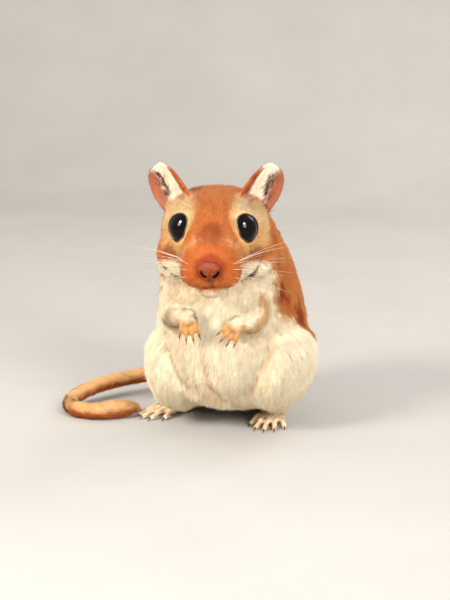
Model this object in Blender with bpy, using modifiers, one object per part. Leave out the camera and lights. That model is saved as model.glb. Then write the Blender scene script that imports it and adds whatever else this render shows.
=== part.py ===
"""A still, life-size gerbil that sits up on its hind feet, with its tail curled round its right side.

Sizes are in metres. +Z is up and the chest faces -Y, so the animal's left side is +X.
The head is turned a little to its left. The feet, the rump and the tail rest on the floor at z = 0,
and the origin is the middle of the rump's flat there.
"""

import math

import bmesh
import bpy
from mathutils import Matrix, Vector
from mathutils.bvhtree import BVHTree

MM = 0.001

# Driving sizes
HEAD_LENGTH = 36.6 * MM
BODY_WIDTH = 42.8 * MM
FOOT_LENGTH = 29.0 * MM
HAND_LENGTH = 9.0 * MM
EAR_LENGTH = 11.4 * MM
EAR_WIDTH = 9.4 * MM
EAR_WALL = 0.9 * MM
EYE_RADIUS = 3.9 * MM
TAIL_RADIUS = 2.45 * MM
HEAD_TURN = math.radians(11.5)
HEAD_DROP = math.radians(6.0)
GAP = 0.3 * MM
FLOOR_SINK = 0.25 * MM

# The tables below count in these units, which are one millimetre at the sizes above
HEAD_UNIT = HEAD_LENGTH / 36.6
BODY_UNIT = BODY_WIDTH / 42.8
FOOT_UNIT = FOOT_LENGTH / 29
HAND_UNIT = HAND_LENGTH / 9

# Mesh fineness: voxel sizes of the fused forms, and the share of triangles that a node keeps
BODY_VOXEL = 0.9 * MM
HEAD_VOXEL = 0.5 * MM
FLESH_VOXEL = 0.6 * MM
LIMB_VOXEL = 0.5 * MM
PAW_VOXEL = 0.28 * MM
HEAD_SHARE = 0.055
NECK_SHARE = 0.02
TORSO_SHARE = 0.014
LEG_SHARE = 0.018
ARM_SHARE = 0.035
PAW_SHARE = 0.03
REACH = 200 * MM
WELD = 0.01 * MM
SHARP_ANGLE = math.radians(50)
FINE_BALL = (28, 18)  # segments and rings
PLAIN_BALL = (16, 10)
HEAD_SIDES = 32
TRUNK_SIDES = 40
LIMB_STEPS = 4
LIMB_SIDES = 16
DIGIT_STEPS = 2
DIGIT_SIDES = 8
CLAW_SIDES = 6
GROOVE_STEPS = 3
GROOVE_SIDES = 8
SMOOTHING = {  # passes over each fused form
    "trunk": 6,
    "head": 8,
    "flesh": 9,
    "leg": 10,
    "arm": 6,
    "sole": 4,
    "paw": 3,
    "palm": 2,
}

# Head, in its own frame with the nose towards -Y
HEAD_CENTRE = (0.3, -12.0, 51.5)
HEAD_SECTIONS = (  # place along the head, half width, top, bottom
    (-18.4, 3.0, -0.6, -6.2),
    (-17.4, 4.5, 0.9, -7.7),
    (-15.0, 5.9, 3.2, -9.3),
    (-11.5, 7.3, 5.7, -10.6),
    (-7.5, 8.7, 7.6, -11.4),
    (-3.0, 10.4, 9.0, -11.9),
    (2.0, 12.6, 9.8, -12.3),
    (7.0, 13.4, 9.9, -12.4),
    (12.0, 12.6, 8.8, -11.8),
    (16.0, 9.4, 5.8, -9.0),
)
HEAD_POLES = ((-19.0, -3.4), (17.6, -1.2))
HEAD_SQUARENESS = 2.3
HEAD_BULGES = (  # centre and radii, repeated on both sides
    ("cheek", (8.5, 2.4, -6.0), (5.8, 8.4, 6.4)),
    ("brow", (6.0, -3.5, 5.6), (3.4, 5.2, 2.9)),
    ("whisker_pad", (3.5, -14.2, -5.2), (3.8, 4.2, 3.8)),
)
CHIN = ((0.0, -11.4, -9.6), (3.9, 4.6, 2.7))
NOSE_PAD = ((0.0, -18.2, -3.3), (2.7, 1.4, 1.8))
NOSTRIL_LINE = ((0.8, -19.6, -4.3), (1.5, -19.2, -3.8), (2.4, -18.0, -3.5))
CLEFT_LINE = ((0.0, -19.8, -4.7), (0.0, -18.9, -6.2), (0.0, -17.6, -7.7))
MOUTH_LINE = (
    (-5.3, -8.6, -8.4),
    (-4.3, -12.4, -8.7),
    (-2.4, -15.6, -8.5),
    (0.0, -17.3, -8.0),
    (2.4, -15.6, -8.5),
    (4.3, -12.4, -8.7),
    (5.3, -8.6, -8.4),
)
MOUTH_RADIUS = 0.45 * MM
GROOVE_END = 0.7  # the radius of a groove at its ends, as a share
EYE_CENTRE = (6.3, -5.3, 2.7)
EYE_OUTWARD = math.radians(50)
EYE_UPWARD = math.radians(12)
LID_RADIUS = 0.55 * MM
LID_ANGLE = math.radians(66)
LID_STAND = 0.8  # how far the rim stands off the eyeball, as a share of its radius
LID_SEGMENTS = (20, 6)
SOCKET_BALL = (20, 14)
EAR_ROOT = (8.9, 5.0, 5.4)
EAR_WAY = (0.40, -0.06, 0.91)
EAR_FACING = (0.58, -0.80, 0.10)
EAR_CUP = 3.8 * MM
EAR_GRID = (11, 9)  # rows up the ear, points across it
EAR_WIDEST = 0.50  # how far up the ear is widest, as a share of its length
EAR_ROOT_WIDTH = 0.62  # the ear's width at its root, as a share of its greatest
EAR_TOP_POWER = 2.1  # 2 makes the top round, and more makes it squarer
EAR_WEB = 1.1  # how much further the inner edge runs at the root, where it meets the crown
EAR_WEB_POWER = 3  # more makes the inner edge flare nearer to the root
EAR_CUP_LOSS = 0.62  # the share of the cup that is gone at the tip
EAR_CUP_MIDDLE = 0.4  # how far the cup's middle lies behind the ear's axis, as a share of the cup
EAR_CUP_TIP = 0.1  # the same at the tip

# Trunk: a pear that leans forward as it narrows to the nape
TRUNK_SECTIONS = (  # height, half width, reach of the chest, reach of the back
    (1.0, 7.4, -16.0, 27.6),
    (3.0, 10.0, -7.4, 29.0),
    (5.0, 12.2, 0.0, 30.2),
    (7.5, 14.4, 6.0, 31.4),
    (11.0, 16.6, 10.8, 32.2),
    (16.0, 18.0, 13.8, 32.4),
    (22.0, 18.5, 14.6, 31.2),
    (28.0, 18.3, 14.2, 28.8),
    (34.0, 17.4, 13.3, 25.8),
    (40.0, 16.2, 12.8, 22.2),
    (45.0, 14.8, 12.8, 18.6),
    (50.0, 12.8, 12.4, 14.2),
    (54.5, 10.6, 10.8, 11.0),
    (57.6, 7.6, 8.5, 7.0),
)
TRUNK_POLES = ((-0.8, -22.0), (59.4, 1.0))
TRUNK_SQUARENESS = 2.1
TRUNK_SHIFT = -0.5
SEAT = (-0.5, 22.0, 0.0)  # the middle of the rump's flat on the floor, which becomes the origin
HEAD_CUT = ((0.0, -5.5, 50.0), (0.0, -0.82, 0.57))
NECK_CUT = ((0.0, 0.0, 43.5), (0.0, -0.476, 0.879))

# Hind legs: the haunch with its lean in degrees, the shank from the knee to the heel, and the foot's heel
HAUNCHES = {
    "left": ((12.2, 4.6, 17.0), (9.1, 15.2, 12.2), 11.0),
    "right": ((-12.8, 4.4, 15.8), (8.7, 15.2, 12.6), -5.0),
}
SHANKS = {
    "left": (((12.0, -3.5, 13.0), 5.6), ((11.2, 6.0, 8.2), 4.6), ((9.2, 18.0, 4.7), 3.2)),
    "right": (((-13.0, -3.5, 12.0), 5.8), ((-12.8, 4.0, 7.9), 4.7), ((-10.6, 15.0, 4.6), 3.3)),
}
FEET = {"left": ((9.3, 22.0, 0.0), 1.0), "right": ((-9.8, 20.5, 0.0), -36.0)}  # heel, degrees out
SOLE_LINE = (((0, 0.6, 2.5), 2.35), ((0, -5, 2.3), 2.4), ((0, -11, 2.1), 2.5), ((0, -15.8, 1.7), 2.5))
SOLE_SPREAD = 1.16
TOES = (  # root and tip across the foot, and root and tip along it
    (-2.3, -3.9, -13.6, -18.4),
    (-1.3, -2.1, -15.2, -21.4),
    (0.0, 0.0, -15.6, -22.2),
    (1.3, 2.1, -15.2, -21.5),
    (2.3, 3.9, -13.6, -18.9),
)
TOE_HEIGHTS = (1.7, 2.1, 1.0)
TOE_RADII = (1.15, 1.02, 0.86)

# Forelegs: shoulder, elbow and wrist with their radii, then the way the fingers point
ARMS = {
    "left": (
        (((9.8, -5.2, 39.2), 4.9), ((9.8, -10.2, 30.4), 3.4)),
        (((9.8, -10.2, 30.4), 3.3), ((9.0, -13.8, 30.2), 2.8), ((7.2, -16.2, 31.6), 2.1)),
        (-0.52, -0.20, -0.83),
    ),
    "right": (
        (((-10.6, -4.8, 39.2), 4.9), ((-11.4, -9.4, 31.0), 3.4)),
        (((-11.4, -9.4, 31.0), 3.3), ((-8.4, -14.2, 31.0), 2.8), ((-4.8, -17.0, 32.8), 2.1)),
        (0.10, -0.22, -0.97),
    ),
}
BACK_OF_HAND = (0.15, -1.0, 0.10)
PALM = ((0.0, -2.3, 0.0), (2.35, 2.7, 1.35))
PALM_BALL = (20, 12)
WRIST_LINE = (((0, 1.0, 0.0), 1.75), ((0, -2.0, 0.0), 1.7))
FINGERS = (
    (-1.5, -2.2, -3.2, -5.3),
    (-0.5, -0.8, -3.8, -6.0),
    (0.5, 0.8, -3.8, -6.0),
    (1.5, 2.2, -3.2, -5.4),
)
FINGER_HEIGHTS = (0.1, 0.5, -0.1)
FINGER_RADII = (0.82, 0.74, 0.62)
CLAW_RADII = (0.42, 0.30, 0.10)
CLAW_LINE = (  # from the digit's tip: a share of its lean across, then the way along and up
    (-0.125, 0.5, 0.1),
    (0.083, -1.2, 0.05),
    (0.125, -2.3, -0.5),
)

# Tail: its line from the rump to the tip, with the radius as a share of TAIL_RADIUS
TAIL_LINE = (
    ((0.5, 23.0, 8.6), 1.75),
    ((-2.6, 30.6, 7.0), 1.30),
    ((-11.0, 34.0, 5.9), 1.12),
    ((-22.0, 30.8, 5.4), 1.02),
    ((-32.0, 24.2, 4.9), 0.98),
    ((-40.0, 16.0, 3.9), 0.96),
    ((-43.8, 7.0, 2.6), 0.97),
    ((-40.6, 0.4, 2.15), 1.00),
    ((-34.0, -1.0, 2.25), 1.06),
    ((-28.4, 2.2, 2.45), 1.10),
    ((-26.6, 4.2, 2.30), 0.84),
)
TAIL_NODES = ("tail_root", "tail_middle", "tail_curl", "tail_tip")
TAIL_STEPS = 4
TAIL_SIDES = 12
TAIL_TIP_BALL = (12, 8)
SQUARED_END = (0.5, 2.0)  # in gaps from the cut

COLOURS = {
    "coat": (0.72, 0.38, 0.17, 1.0),
    "pale_coat": (0.93, 0.82, 0.60, 1.0),
    "paw_skin": (0.86, 0.66, 0.45, 1.0),
    "ear_skin": (0.86, 0.60, 0.42, 1.0),
    "eye": (0.01, 0.008, 0.008, 1.0),
}
ROUGHNESS = {"eye": 0.05, "paw_skin": 0.55, "ear_skin": 0.6}


def clear_scene():
    """Removes whatever the scene holds."""
    for obj in list(bpy.data.objects):
        bpy.data.objects.remove(obj)


def scaled(values, unit):
    """A table's point in metres."""
    return Vector(values) * unit


def mirrored(values, side):
    """A point or a way of the left side, on the side asked for (1 is left, -1 is right)."""
    return Vector((values[0] * side, values[1], values[2]))


def link(mesh, name):
    """A new object of this mesh in the scene."""
    obj = bpy.data.objects.new(name, mesh)
    bpy.context.scene.collection.objects.link(obj)
    return obj


def from_bmesh(bm, name):
    """A new object of this bmesh, with its faces pointing out."""
    bmesh.ops.recalc_face_normals(bm, faces=bm.faces)
    mesh = bpy.data.meshes.new(name)
    bm.to_mesh(mesh)
    bm.free()
    return link(mesh, name)


def settle(obj):
    """Turns the object's modifiers into its own mesh."""
    bpy.context.view_layer.update()
    graph = bpy.context.evaluated_depsgraph_get()
    mesh = bpy.data.meshes.new_from_object(obj.evaluated_get(graph))
    obj.modifiers.clear()
    obj.data = mesh
    return obj


def duplicate(obj, name):
    """A copy with a mesh of its own."""
    return link(obj.data.copy(), name)


def drop(*objects):
    """Removes helpers once they have been used."""
    for obj in objects:
        bpy.data.objects.remove(obj)


def move(obj, matrix):
    """Moves the object's mesh by this matrix."""
    obj.data.transform(matrix)
    return obj


def ellipsoid(name, centre, radii, grid=FINE_BALL):
    """A ball stretched to three radii, at its centre."""
    segments, rings = grid
    bm = bmesh.new()
    bmesh.ops.create_uvsphere(bm, u_segments=segments, v_segments=rings, radius=1.0)
    shape = Matrix.Translation(centre) @ Matrix.Diagonal((*radii, 1.0))
    bmesh.ops.transform(bm, matrix=shape, verts=bm.verts)
    return from_bmesh(bm, name)


def ball(name, centre, radius, grid=PLAIN_BALL):
    """A round ball."""
    return ellipsoid(name, centre, (radius,) * 3, grid)


def smooth_line(line, steps):
    """Points and radii along a smooth curve through the given ones, a few steps apart."""
    rows = [(*point, radius) for point, radius in line]
    rows = [rows[0], *rows, rows[-1]]
    fine = []
    for a, b, c, d in zip(rows, rows[1:], rows[2:], rows[3:]):
        for step in range(steps):
            t = step / steps
            weights = (
                (-t + 2 * t**2 - t**3) / 2,
                (2 - 5 * t**2 + 3 * t**3) / 2,
                (t + 4 * t**2 - 3 * t**3) / 2,
                (-(t**2) + t**3) / 2,
            )
            fine.append([sum(w * r[k] for w, r in zip(weights, (a, b, c, d))) for k in range(4)])
    fine.append(list(rows[-1]))
    return [(Vector(row[:3]), row[3]) for row in fine]


def tube(name, line, sides):
    """A round tube along a line of points and radii, with flat closed ends."""
    curve = bpy.data.curves.new(name, "CURVE")
    curve.dimensions = "3D"
    curve.bevel_depth = MM
    curve.bevel_resolution = (sides - 4) // 2
    curve.use_fill_caps = True
    spline = curve.splines.new("POLY")
    spline.points.add(len(line) - 1)
    for knot, (point, radius) in zip(spline.points, line):
        knot.co = (*point, 1.0)
        knot.radius = radius / MM
    wire = bpy.data.objects.new(name, curve)
    bpy.context.scene.collection.objects.link(wire)
    bpy.context.view_layer.update()
    graph = bpy.context.evaluated_depsgraph_get()
    mesh = bpy.data.meshes.new_from_object(wire.evaluated_get(graph))
    drop(wire)
    bm = bmesh.new()
    bm.from_mesh(mesh)
    bmesh.ops.remove_doubles(bm, verts=bm.verts, dist=WELD)
    return from_bmesh(bm, name)


def limb(name, line, steps=LIMB_STEPS, sides=LIMB_SIDES):
    """A tube and the balls that dome its two ends, to be fused."""
    (first, first_radius), (last, last_radius) = line[0], line[-1]
    return [
        tube(name, smooth_line(line, steps), sides),
        ball(name + "_start", first, first_radius),
        ball(name + "_end", last, last_radius),
    ]


def loft(name, sections, poles, unit, sides, squareness):
    """A skin over oval sections that stand across Y, closed to a point at both ends."""
    bm = bmesh.new()
    rings = []
    for along, half, top, bottom in sections:
        middle, tall = (top + bottom) / 2, (top - bottom) / 2
        ring = []
        for k in range(sides):
            c = math.cos(2 * math.pi * k / sides)
            s = math.sin(2 * math.pi * k / sides)
            x = half * math.copysign(abs(c) ** (2 / squareness), c)
            z = middle + tall * math.copysign(abs(s) ** (2 / squareness), s)
            ring.append(bm.verts.new(scaled((x, along, z), unit)))
        rings.append(ring)
    for first, second in zip(rings, rings[1:]):
        for k in range(sides):
            bm.faces.new((first[k - 1], first[k], second[k], second[k - 1]))
    for (along, height), ring in zip(poles, (rings[0], rings[-1])):
        pole = bm.verts.new(scaled((0.0, along, height), unit))
        for k in range(sides):
            bm.faces.new((ring[k - 1], ring[k], pole))
    return from_bmesh(bm, name)


def fuse(name, pieces, voxel, passes):
    """One closed body from overlapping pieces, with the creases between them smoothed."""
    bm = bmesh.new()
    for piece in pieces:
        bm.from_mesh(piece.data)
    body = from_bmesh(bm, name)
    drop(*pieces)
    remesh = body.modifiers.new("remesh", "REMESH")
    remesh.mode = "VOXEL"
    remesh.voxel_size = voxel
    smooth = body.modifiers.new("smooth", "SMOOTH")
    smooth.factor = 0.5
    smooth.iterations = passes
    return settle(body)


def thin_out(obj, share):
    """Keeps this share of the triangles, fewest where the surface is plain."""
    decimate = obj.modifiers.new("decimate", "DECIMATE")
    decimate.ratio = share
    decimate.use_collapse_triangulate = True
    return settle(obj)


def largest_piece(obj):
    """Keeps the largest closed surface, which drops loose scraps."""
    bm = bmesh.new()
    bm.from_mesh(obj.data)
    left = set(bm.verts)
    groups = []
    while left:
        queue = [left.pop()]
        group = set(queue)
        while queue:
            for edge in queue.pop().link_edges:
                for vert in edge.verts:
                    if vert in left:
                        left.remove(vert)
                        group.add(vert)
                        queue.append(vert)
        groups.append(group)
    groups.sort(key=len)
    for group in groups[:-1]:
        bmesh.ops.delete(bm, geom=list(group), context="VERTS")
    bm.to_mesh(obj.data)
    bm.free()
    return obj


def boolean(obj, others, operation):
    """Joins the others to the object, cuts them from it or keeps what they share. They are then removed."""
    tools = bpy.data.collections.new("tools")
    bpy.context.scene.collection.children.link(tools)
    for other in others:
        for home in other.users_collection:
            home.objects.unlink(other)
        tools.objects.link(other)
    step = obj.modifiers.new("boolean", "BOOLEAN")
    step.operation = operation
    step.operand_type = "COLLECTION"
    step.collection = tools
    step.solver = "EXACT"
    settle(obj)
    drop(*others)
    bpy.data.collections.remove(tools)
    return largest_piece(obj)


def clearance(obj):
    """A copy that stands out from the object by the gap kept between nodes."""
    shell = duplicate(obj, obj.name + "_clearance")
    swell = shell.modifiers.new("swell", "DISPLACE")
    swell.strength = GAP
    swell.mid_level = 0.0
    return settle(shell)


def wrapped(obj):
    """The plain form that wraps the object with no hollows, such as a foot with the gaps of its toes."""
    bm = bmesh.new()
    bm.from_mesh(obj.data)
    hull = bmesh.ops.convex_hull(bm, input=bm.verts)
    inner = {item for item in hull["geom_interior"] if isinstance(item, bmesh.types.BMVert)}
    bmesh.ops.delete(bm, geom=list(inner), context="VERTS")
    loose = [face for face in bm.faces if face not in set(hull["geom"])]
    bmesh.ops.delete(bm, geom=loose, context="FACES")
    return from_bmesh(bm, obj.name + "_wrapped")


def half_space(point, normal, shift=0.0):
    """A large block on the side of the point that the normal looks to, moved on by the shift."""
    bm = bmesh.new()
    bmesh.ops.create_cube(bm, size=2 * REACH)
    way = Vector(normal).normalized()
    turn = way.to_track_quat("Z", "Y").to_matrix().to_4x4()
    place = Matrix.Translation(Vector(point) + way * (REACH + shift)) @ turn
    bmesh.ops.transform(bm, matrix=place, verts=bm.verts)
    return from_bmesh(bm, "block")


def stand_on_floor(obj):
    """Cuts off what lies below the floor, which leaves small flats at one level."""
    return boolean(obj, [half_space((0, 0, 0), (0, 0, -1))], "DIFFERENCE")


def head_place():
    """The matrix that sets the head's own frame on the neck."""
    turn = Matrix.Rotation(HEAD_TURN, 4, "Z") @ Matrix.Rotation(HEAD_DROP, 4, "X")
    return Matrix.Translation(scaled(HEAD_CENTRE, BODY_UNIT)) @ turn


def eye_axis(side):
    """The way an eye looks, in the head's own frame."""
    level = math.cos(EYE_UPWARD)
    ahead = -math.cos(EYE_OUTWARD) * level
    return Vector((side * math.sin(EYE_OUTWARD) * level, ahead, math.sin(EYE_UPWARD)))


def head_form():
    """The head's plain form in its own frame: skull, cheeks, brows, whisker pads and chin."""
    pieces = [loft("skull", HEAD_SECTIONS, HEAD_POLES, HEAD_UNIT, HEAD_SIDES, HEAD_SQUARENESS)]
    for name, centre, radii in HEAD_BULGES:
        for side in (-1, 1):
            pieces.append(ellipsoid(name, mirrored(centre, side) * HEAD_UNIT, scaled(radii, HEAD_UNIT)))
    pieces.append(ellipsoid("chin", scaled(CHIN[0], HEAD_UNIT), scaled(CHIN[1], HEAD_UNIT)))
    return fuse("head_form", pieces, HEAD_VOXEL, SMOOTHING["head"])


def trunk_form():
    """The trunk's plain form, lofted upward from the floor."""
    sections = [(height, half, chest, -back) for height, half, chest, back in TRUNK_SECTIONS]
    trunk = loft("trunk", sections, TRUNK_POLES, BODY_UNIT, TRUNK_SIDES, TRUNK_SQUARENESS)
    shift = Matrix.Translation((TRUNK_SHIFT * BODY_UNIT, 0.0, 0.0))
    move(trunk, shift @ Matrix.Rotation(math.radians(90), 4, "X"))
    return fuse("trunk_form", [trunk], BODY_VOXEL, SMOOTHING["trunk"])


def snapped(points, surface):
    """The points moved onto the nearest place of a surface."""
    tree = BVHTree.FromObject(surface, bpy.context.evaluated_depsgraph_get())
    return [tree.find_nearest(point)[0] for point in points]


def groove(name, points, radius, surface):
    """A cutter that lies along a line on a surface and thins out at its ends."""
    line = [(point, radius) for point in snapped(points, surface)]
    line[0] = (line[0][0], radius * GROOVE_END)
    line[-1] = (line[-1][0], radius * GROOVE_END)
    return tube(name, smooth_line(line, GROOVE_STEPS), GROOVE_SIDES)


def lid_ring(side):
    """The rim of both lids round an eye, in the head's own frame."""
    away = EYE_RADIUS + GAP + LID_RADIUS * LID_STAND
    around, through = LID_SEGMENTS
    bpy.ops.mesh.primitive_torus_add(
        major_radius=away * math.sin(LID_ANGLE),
        minor_radius=LID_RADIUS,
        major_segments=around,
        minor_segments=through,
    )
    ring = bpy.context.object
    axis = eye_axis(side)
    centre = mirrored(EYE_CENTRE, side) * HEAD_UNIT + axis * away * math.cos(LID_ANGLE)
    turn = axis.to_track_quat("Z", "Y").to_matrix().to_4x4()
    return move(ring, Matrix.Translation(centre) @ turn)


def build_head(flesh, place):
    """The head with lids, eye sockets, nose pad, nostrils, cleft lip and the line of the mouth."""
    head = thin_out(duplicate(flesh, "head"), HEAD_SHARE)
    boolean(head, [half_space(*scaled_cut(HEAD_CUT), GAP / 2)], "INTERSECT")
    nose = ellipsoid("nose", scaled(NOSE_PAD[0], HEAD_UNIT), scaled(NOSE_PAD[1], HEAD_UNIT), PLAIN_BALL)
    boolean(head, [move(piece, place) for piece in (lid_ring(-1), lid_ring(1), nose)], "UNION")
    cutters = []
    for side in (-1, 1):
        eye = place @ (mirrored(EYE_CENTRE, side) * HEAD_UNIT)
        cutters.append(ball("socket", eye, EYE_RADIUS + GAP, SOCKET_BALL))
        nostril = [place @ (mirrored(point, side) * HEAD_UNIT) for point in NOSTRIL_LINE]
        cutters.append(groove("nostril", nostril, MOUTH_RADIUS, head))
    for name, line in (("cleft", CLEFT_LINE), ("mouth", MOUTH_LINE)):
        cutters.append(groove(name, [place @ scaled(point, HEAD_UNIT) for point in line], MOUTH_RADIUS, head))
    return boolean(head, cutters, "DIFFERENCE")


def scaled_cut(cut):
    """A cutting plane's point in metres, and its normal."""
    return scaled(cut[0], BODY_UNIT), Vector(cut[1])


def opposite(cut):
    """The same plane seen from its other side."""
    point, normal = scaled_cut(cut)
    return point, -normal


def cut_clear(obj, neighbours):
    """Cuts a pocket in the object for each neighbour, wider than it by the gap."""
    for neighbour in neighbours:
        boolean(obj, [clearance(neighbour)], "DIFFERENCE")
    return obj


def build_neck(flesh, arms):
    """The short neck between its two cuts."""
    neck = thin_out(duplicate(flesh, "neck"), NECK_SHARE)
    boolean(neck, [half_space(*opposite(HEAD_CUT), GAP / 2)], "INTERSECT")
    boolean(neck, [half_space(*scaled_cut(NECK_CUT), GAP / 2)], "INTERSECT")
    return cut_clear(neck, arms)


def build_torso(flesh, neighbours):
    """The trunk below the neck, with a pocket for each limb."""
    torso = thin_out(duplicate(flesh, "torso"), TORSO_SHARE)
    boolean(torso, [half_space(*opposite(NECK_CUT), GAP / 2)], "INTERSECT")
    return stand_on_floor(cut_clear(torso, neighbours))


def build_leg(name, side_name, foot, arm):
    """A folded hind leg: the haunch and the shank, hollowed where the foot and the elbow lie on it."""
    centre, radii, lean = HAUNCHES[side_name]
    haunch = ellipsoid("haunch", (0.0, 0.0, 0.0), scaled(radii, BODY_UNIT))
    turn = Matrix.Rotation(math.radians(lean), 4, "Y")
    pieces = [move(haunch, Matrix.Translation(scaled(centre, BODY_UNIT)) @ turn)]
    line = [(scaled(point, BODY_UNIT), radius * BODY_UNIT) for point, radius in SHANKS[side_name]]
    pieces += limb("shank", line)
    leg = thin_out(fuse(name, pieces, LIMB_VOXEL, SMOOTHING["leg"]), LEG_SHARE)
    boolean(leg, [clearance(wrapped(foot)), clearance(arm)], "DIFFERENCE")
    return stand_on_floor(leg)


def digit(root, tip, heights, radii, unit):
    """A toe or finger that arches from its root to its tip: its flesh, and its claw."""
    (x0, y0), (x1, y1) = root, tip
    middle = ((x0 + x1) / 2, (y0 + y1) / 2)
    points = ((x0, y0, heights[0]), (*middle, heights[1]), (x1, y1, heights[2]))
    line = [(scaled(point, unit), radius * unit) for point, radius in zip(points, radii)]
    claw = [(x1 + (x1 - x0) * across, y1 + along, heights[2] + up) for across, along, up in CLAW_LINE]
    claw_line = [(scaled(point, unit), radius * unit) for point, radius in zip(claw, CLAW_RADII)]
    claw_tube = tube("claw", smooth_line(claw_line, DIGIT_STEPS), CLAW_SIDES)
    return limb("digit", line, DIGIT_STEPS, DIGIT_SIDES), claw_tube


def paw(name, core, digits, heights, radii, unit):
    """One paw from its core and its digits, with the claws joined to it."""
    flesh, claws = [core], []
    for x0, x1, y0, y1 in digits:
        pieces, claw = digit((x0, y0), (x1, y1), heights, radii, unit)
        flesh += pieces
        claws.append(claw)
    body = thin_out(fuse(name, flesh, PAW_VOXEL, SMOOTHING["paw"]), PAW_SHARE)
    return boolean(body, claws, "UNION")


def build_foot(name, side_name):
    """A hind foot: its long sole, from the heel to the roots of five clawed toes."""
    heel, out = FEET[side_name]
    line = [(scaled(point, FOOT_UNIT), radius * FOOT_UNIT) for point, radius in SOLE_LINE]
    sole = fuse("sole", limb("sole", line), LIMB_VOXEL, SMOOTHING["sole"])
    move(sole, Matrix.Diagonal((SOLE_SPREAD, 1.0, 1.0, 1.0)))
    foot = paw(name, sole, TOES, TOE_HEIGHTS, TOE_RADII, FOOT_UNIT)
    spot = scaled(heel, BODY_UNIT) - Vector((0.0, 0.0, FLOOR_SINK))
    place = Matrix.Translation(spot) @ Matrix.Rotation(math.radians(out), 4, "Z")
    return stand_on_floor(move(foot, place))


def build_arm(name, side_name):
    """The upper arm and forearm, bent at the elbow."""
    upper, fore, _ = ARMS[side_name]
    pieces = []
    for part in (upper, fore):
        line = [(scaled(point, BODY_UNIT), radius * BODY_UNIT) for point, radius in part]
        pieces += limb("arm", line)
    return thin_out(fuse(name, pieces, LIMB_VOXEL, SMOOTHING["arm"]), ARM_SHARE)


def build_hand(name, side_name, arm):
    """A forepaw that hangs from the wrist, with four clawed fingers."""
    _, fore, way = ARMS[side_name]
    back = Vector(BACK_OF_HAND)
    along = -Vector(way).normalized()
    across = along.cross(back).normalized()
    up = across.cross(along)
    turn = Matrix((across, along, up)).transposed().to_4x4()
    place = Matrix.Translation(scaled(fore[-1][0], BODY_UNIT)) @ turn
    palm = ellipsoid("palm", scaled(PALM[0], HAND_UNIT), scaled(PALM[1], HAND_UNIT), PALM_BALL)
    wrist = [(scaled(point, HAND_UNIT), radius * HAND_UNIT) for point, radius in WRIST_LINE]
    core = fuse("core", [palm, *limb("wrist", wrist)], PAW_VOXEL, SMOOTHING["palm"])
    hand = paw(name, core, FINGERS, FINGER_HEIGHTS, FINGER_RADII, HAND_UNIT)
    return boolean(move(hand, place), [clearance(arm)], "DIFFERENCE")


def ear_half(u, inner):
    """Half the ear's width, as a share of its greatest, at a height from 0 to 1 on its inner or outer side."""
    if u < EAR_WIDEST:
        half = EAR_ROOT_WIDTH + (1 - EAR_ROOT_WIDTH) * math.sin(math.pi / 2 * u / EAR_WIDEST)
    else:
        half = math.sqrt(1 - ((u - EAR_WIDEST) / (1 - EAR_WIDEST)) ** EAR_TOP_POWER)
    return half * (1 + EAR_WEB * (1 - u) ** EAR_WEB_POWER) if inner else half


def build_ear(name, side, flesh, place):
    """A thin cupped ear, open to the front and the side, on the head's own surface."""
    rows, columns = EAR_GRID
    way = mirrored(EAR_WAY, side).normalized()
    facing = mirrored(EAR_FACING, side)
    facing = (facing - way * facing.dot(way)).normalized()
    outward = way.cross(facing).normalized() * side
    root = mirrored(EAR_ROOT, side) * HEAD_UNIT
    bm = bmesh.new()
    grid = []
    for i in range(rows):
        u = i / rows
        cup = EAR_CUP * (1 - EAR_CUP_LOSS * u)
        row = []
        for j in range(columns):
            v = 2 * j / (columns - 1) - 1
            across = outward * EAR_WIDTH / 2 * ear_half(u, v < 0) * v
            spot = root + way * EAR_LENGTH * u + across
            row.append(bm.verts.new(spot + facing * cup * (v * v - EAR_CUP_MIDDLE)))
        grid.append(row)
    for low, high in zip(grid, grid[1:]):
        for j in range(columns - 1):
            bm.faces.new((low[j], low[j + 1], high[j + 1], high[j]))
    tip = bm.verts.new(root + way * EAR_LENGTH - facing * EAR_CUP * EAR_CUP_TIP)
    for j in range(columns - 1):
        bm.faces.new((grid[-1][j], grid[-1][j + 1], tip))
    ear = from_bmesh(bm, name)
    wall = ear.modifiers.new("wall", "SOLIDIFY")
    wall.thickness = EAR_WALL
    wall.offset = 0.0
    wall.use_even_offset = True
    move(settle(ear), place)
    hollow = thin_out(clearance(flesh), HEAD_SHARE)
    return boolean(ear, [hollow], "DIFFERENCE")


def squared_end(line, k, side):
    """Two points beside the line's point k that set a tube's end square to the line, half a gap from it."""
    point, radius = line[k]
    along = (line[k + 1][0] - line[k - 1][0]).normalized() * side
    return [(point + along * GAP * share, radius) for share in SQUARED_END]


def build_tail(torso):
    """The tail in four lengths, laid round the animal's right side on the floor."""
    line = [(scaled(point, BODY_UNIT), share * TAIL_RADIUS) for point, share in TAIL_LINE]
    fine = smooth_line(line, TAIL_STEPS)
    span = (len(fine) - 1) / len(TAIL_NODES)
    tail = []
    for k, name in enumerate(TAIL_NODES):
        first, last = round(k * span), round((k + 1) * span)
        stretch = fine[first : last + 1]
        if name != TAIL_NODES[-1]:
            stretch[-1:] = reversed(squared_end(fine, last, -1))
        if name != TAIL_NODES[0]:
            stretch[:1] = squared_end(fine, first, 1)
        node = tube(name, stretch, TAIL_SIDES)
        if name == TAIL_NODES[0]:
            boolean(node, [clearance(torso)], "DIFFERENCE")
        if name == TAIL_NODES[-1]:
            boolean(node, [ball("tip", *fine[-1], TAIL_TIP_BALL)], "UNION")
        tail.append(stand_on_floor(node))
    return tail


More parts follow.
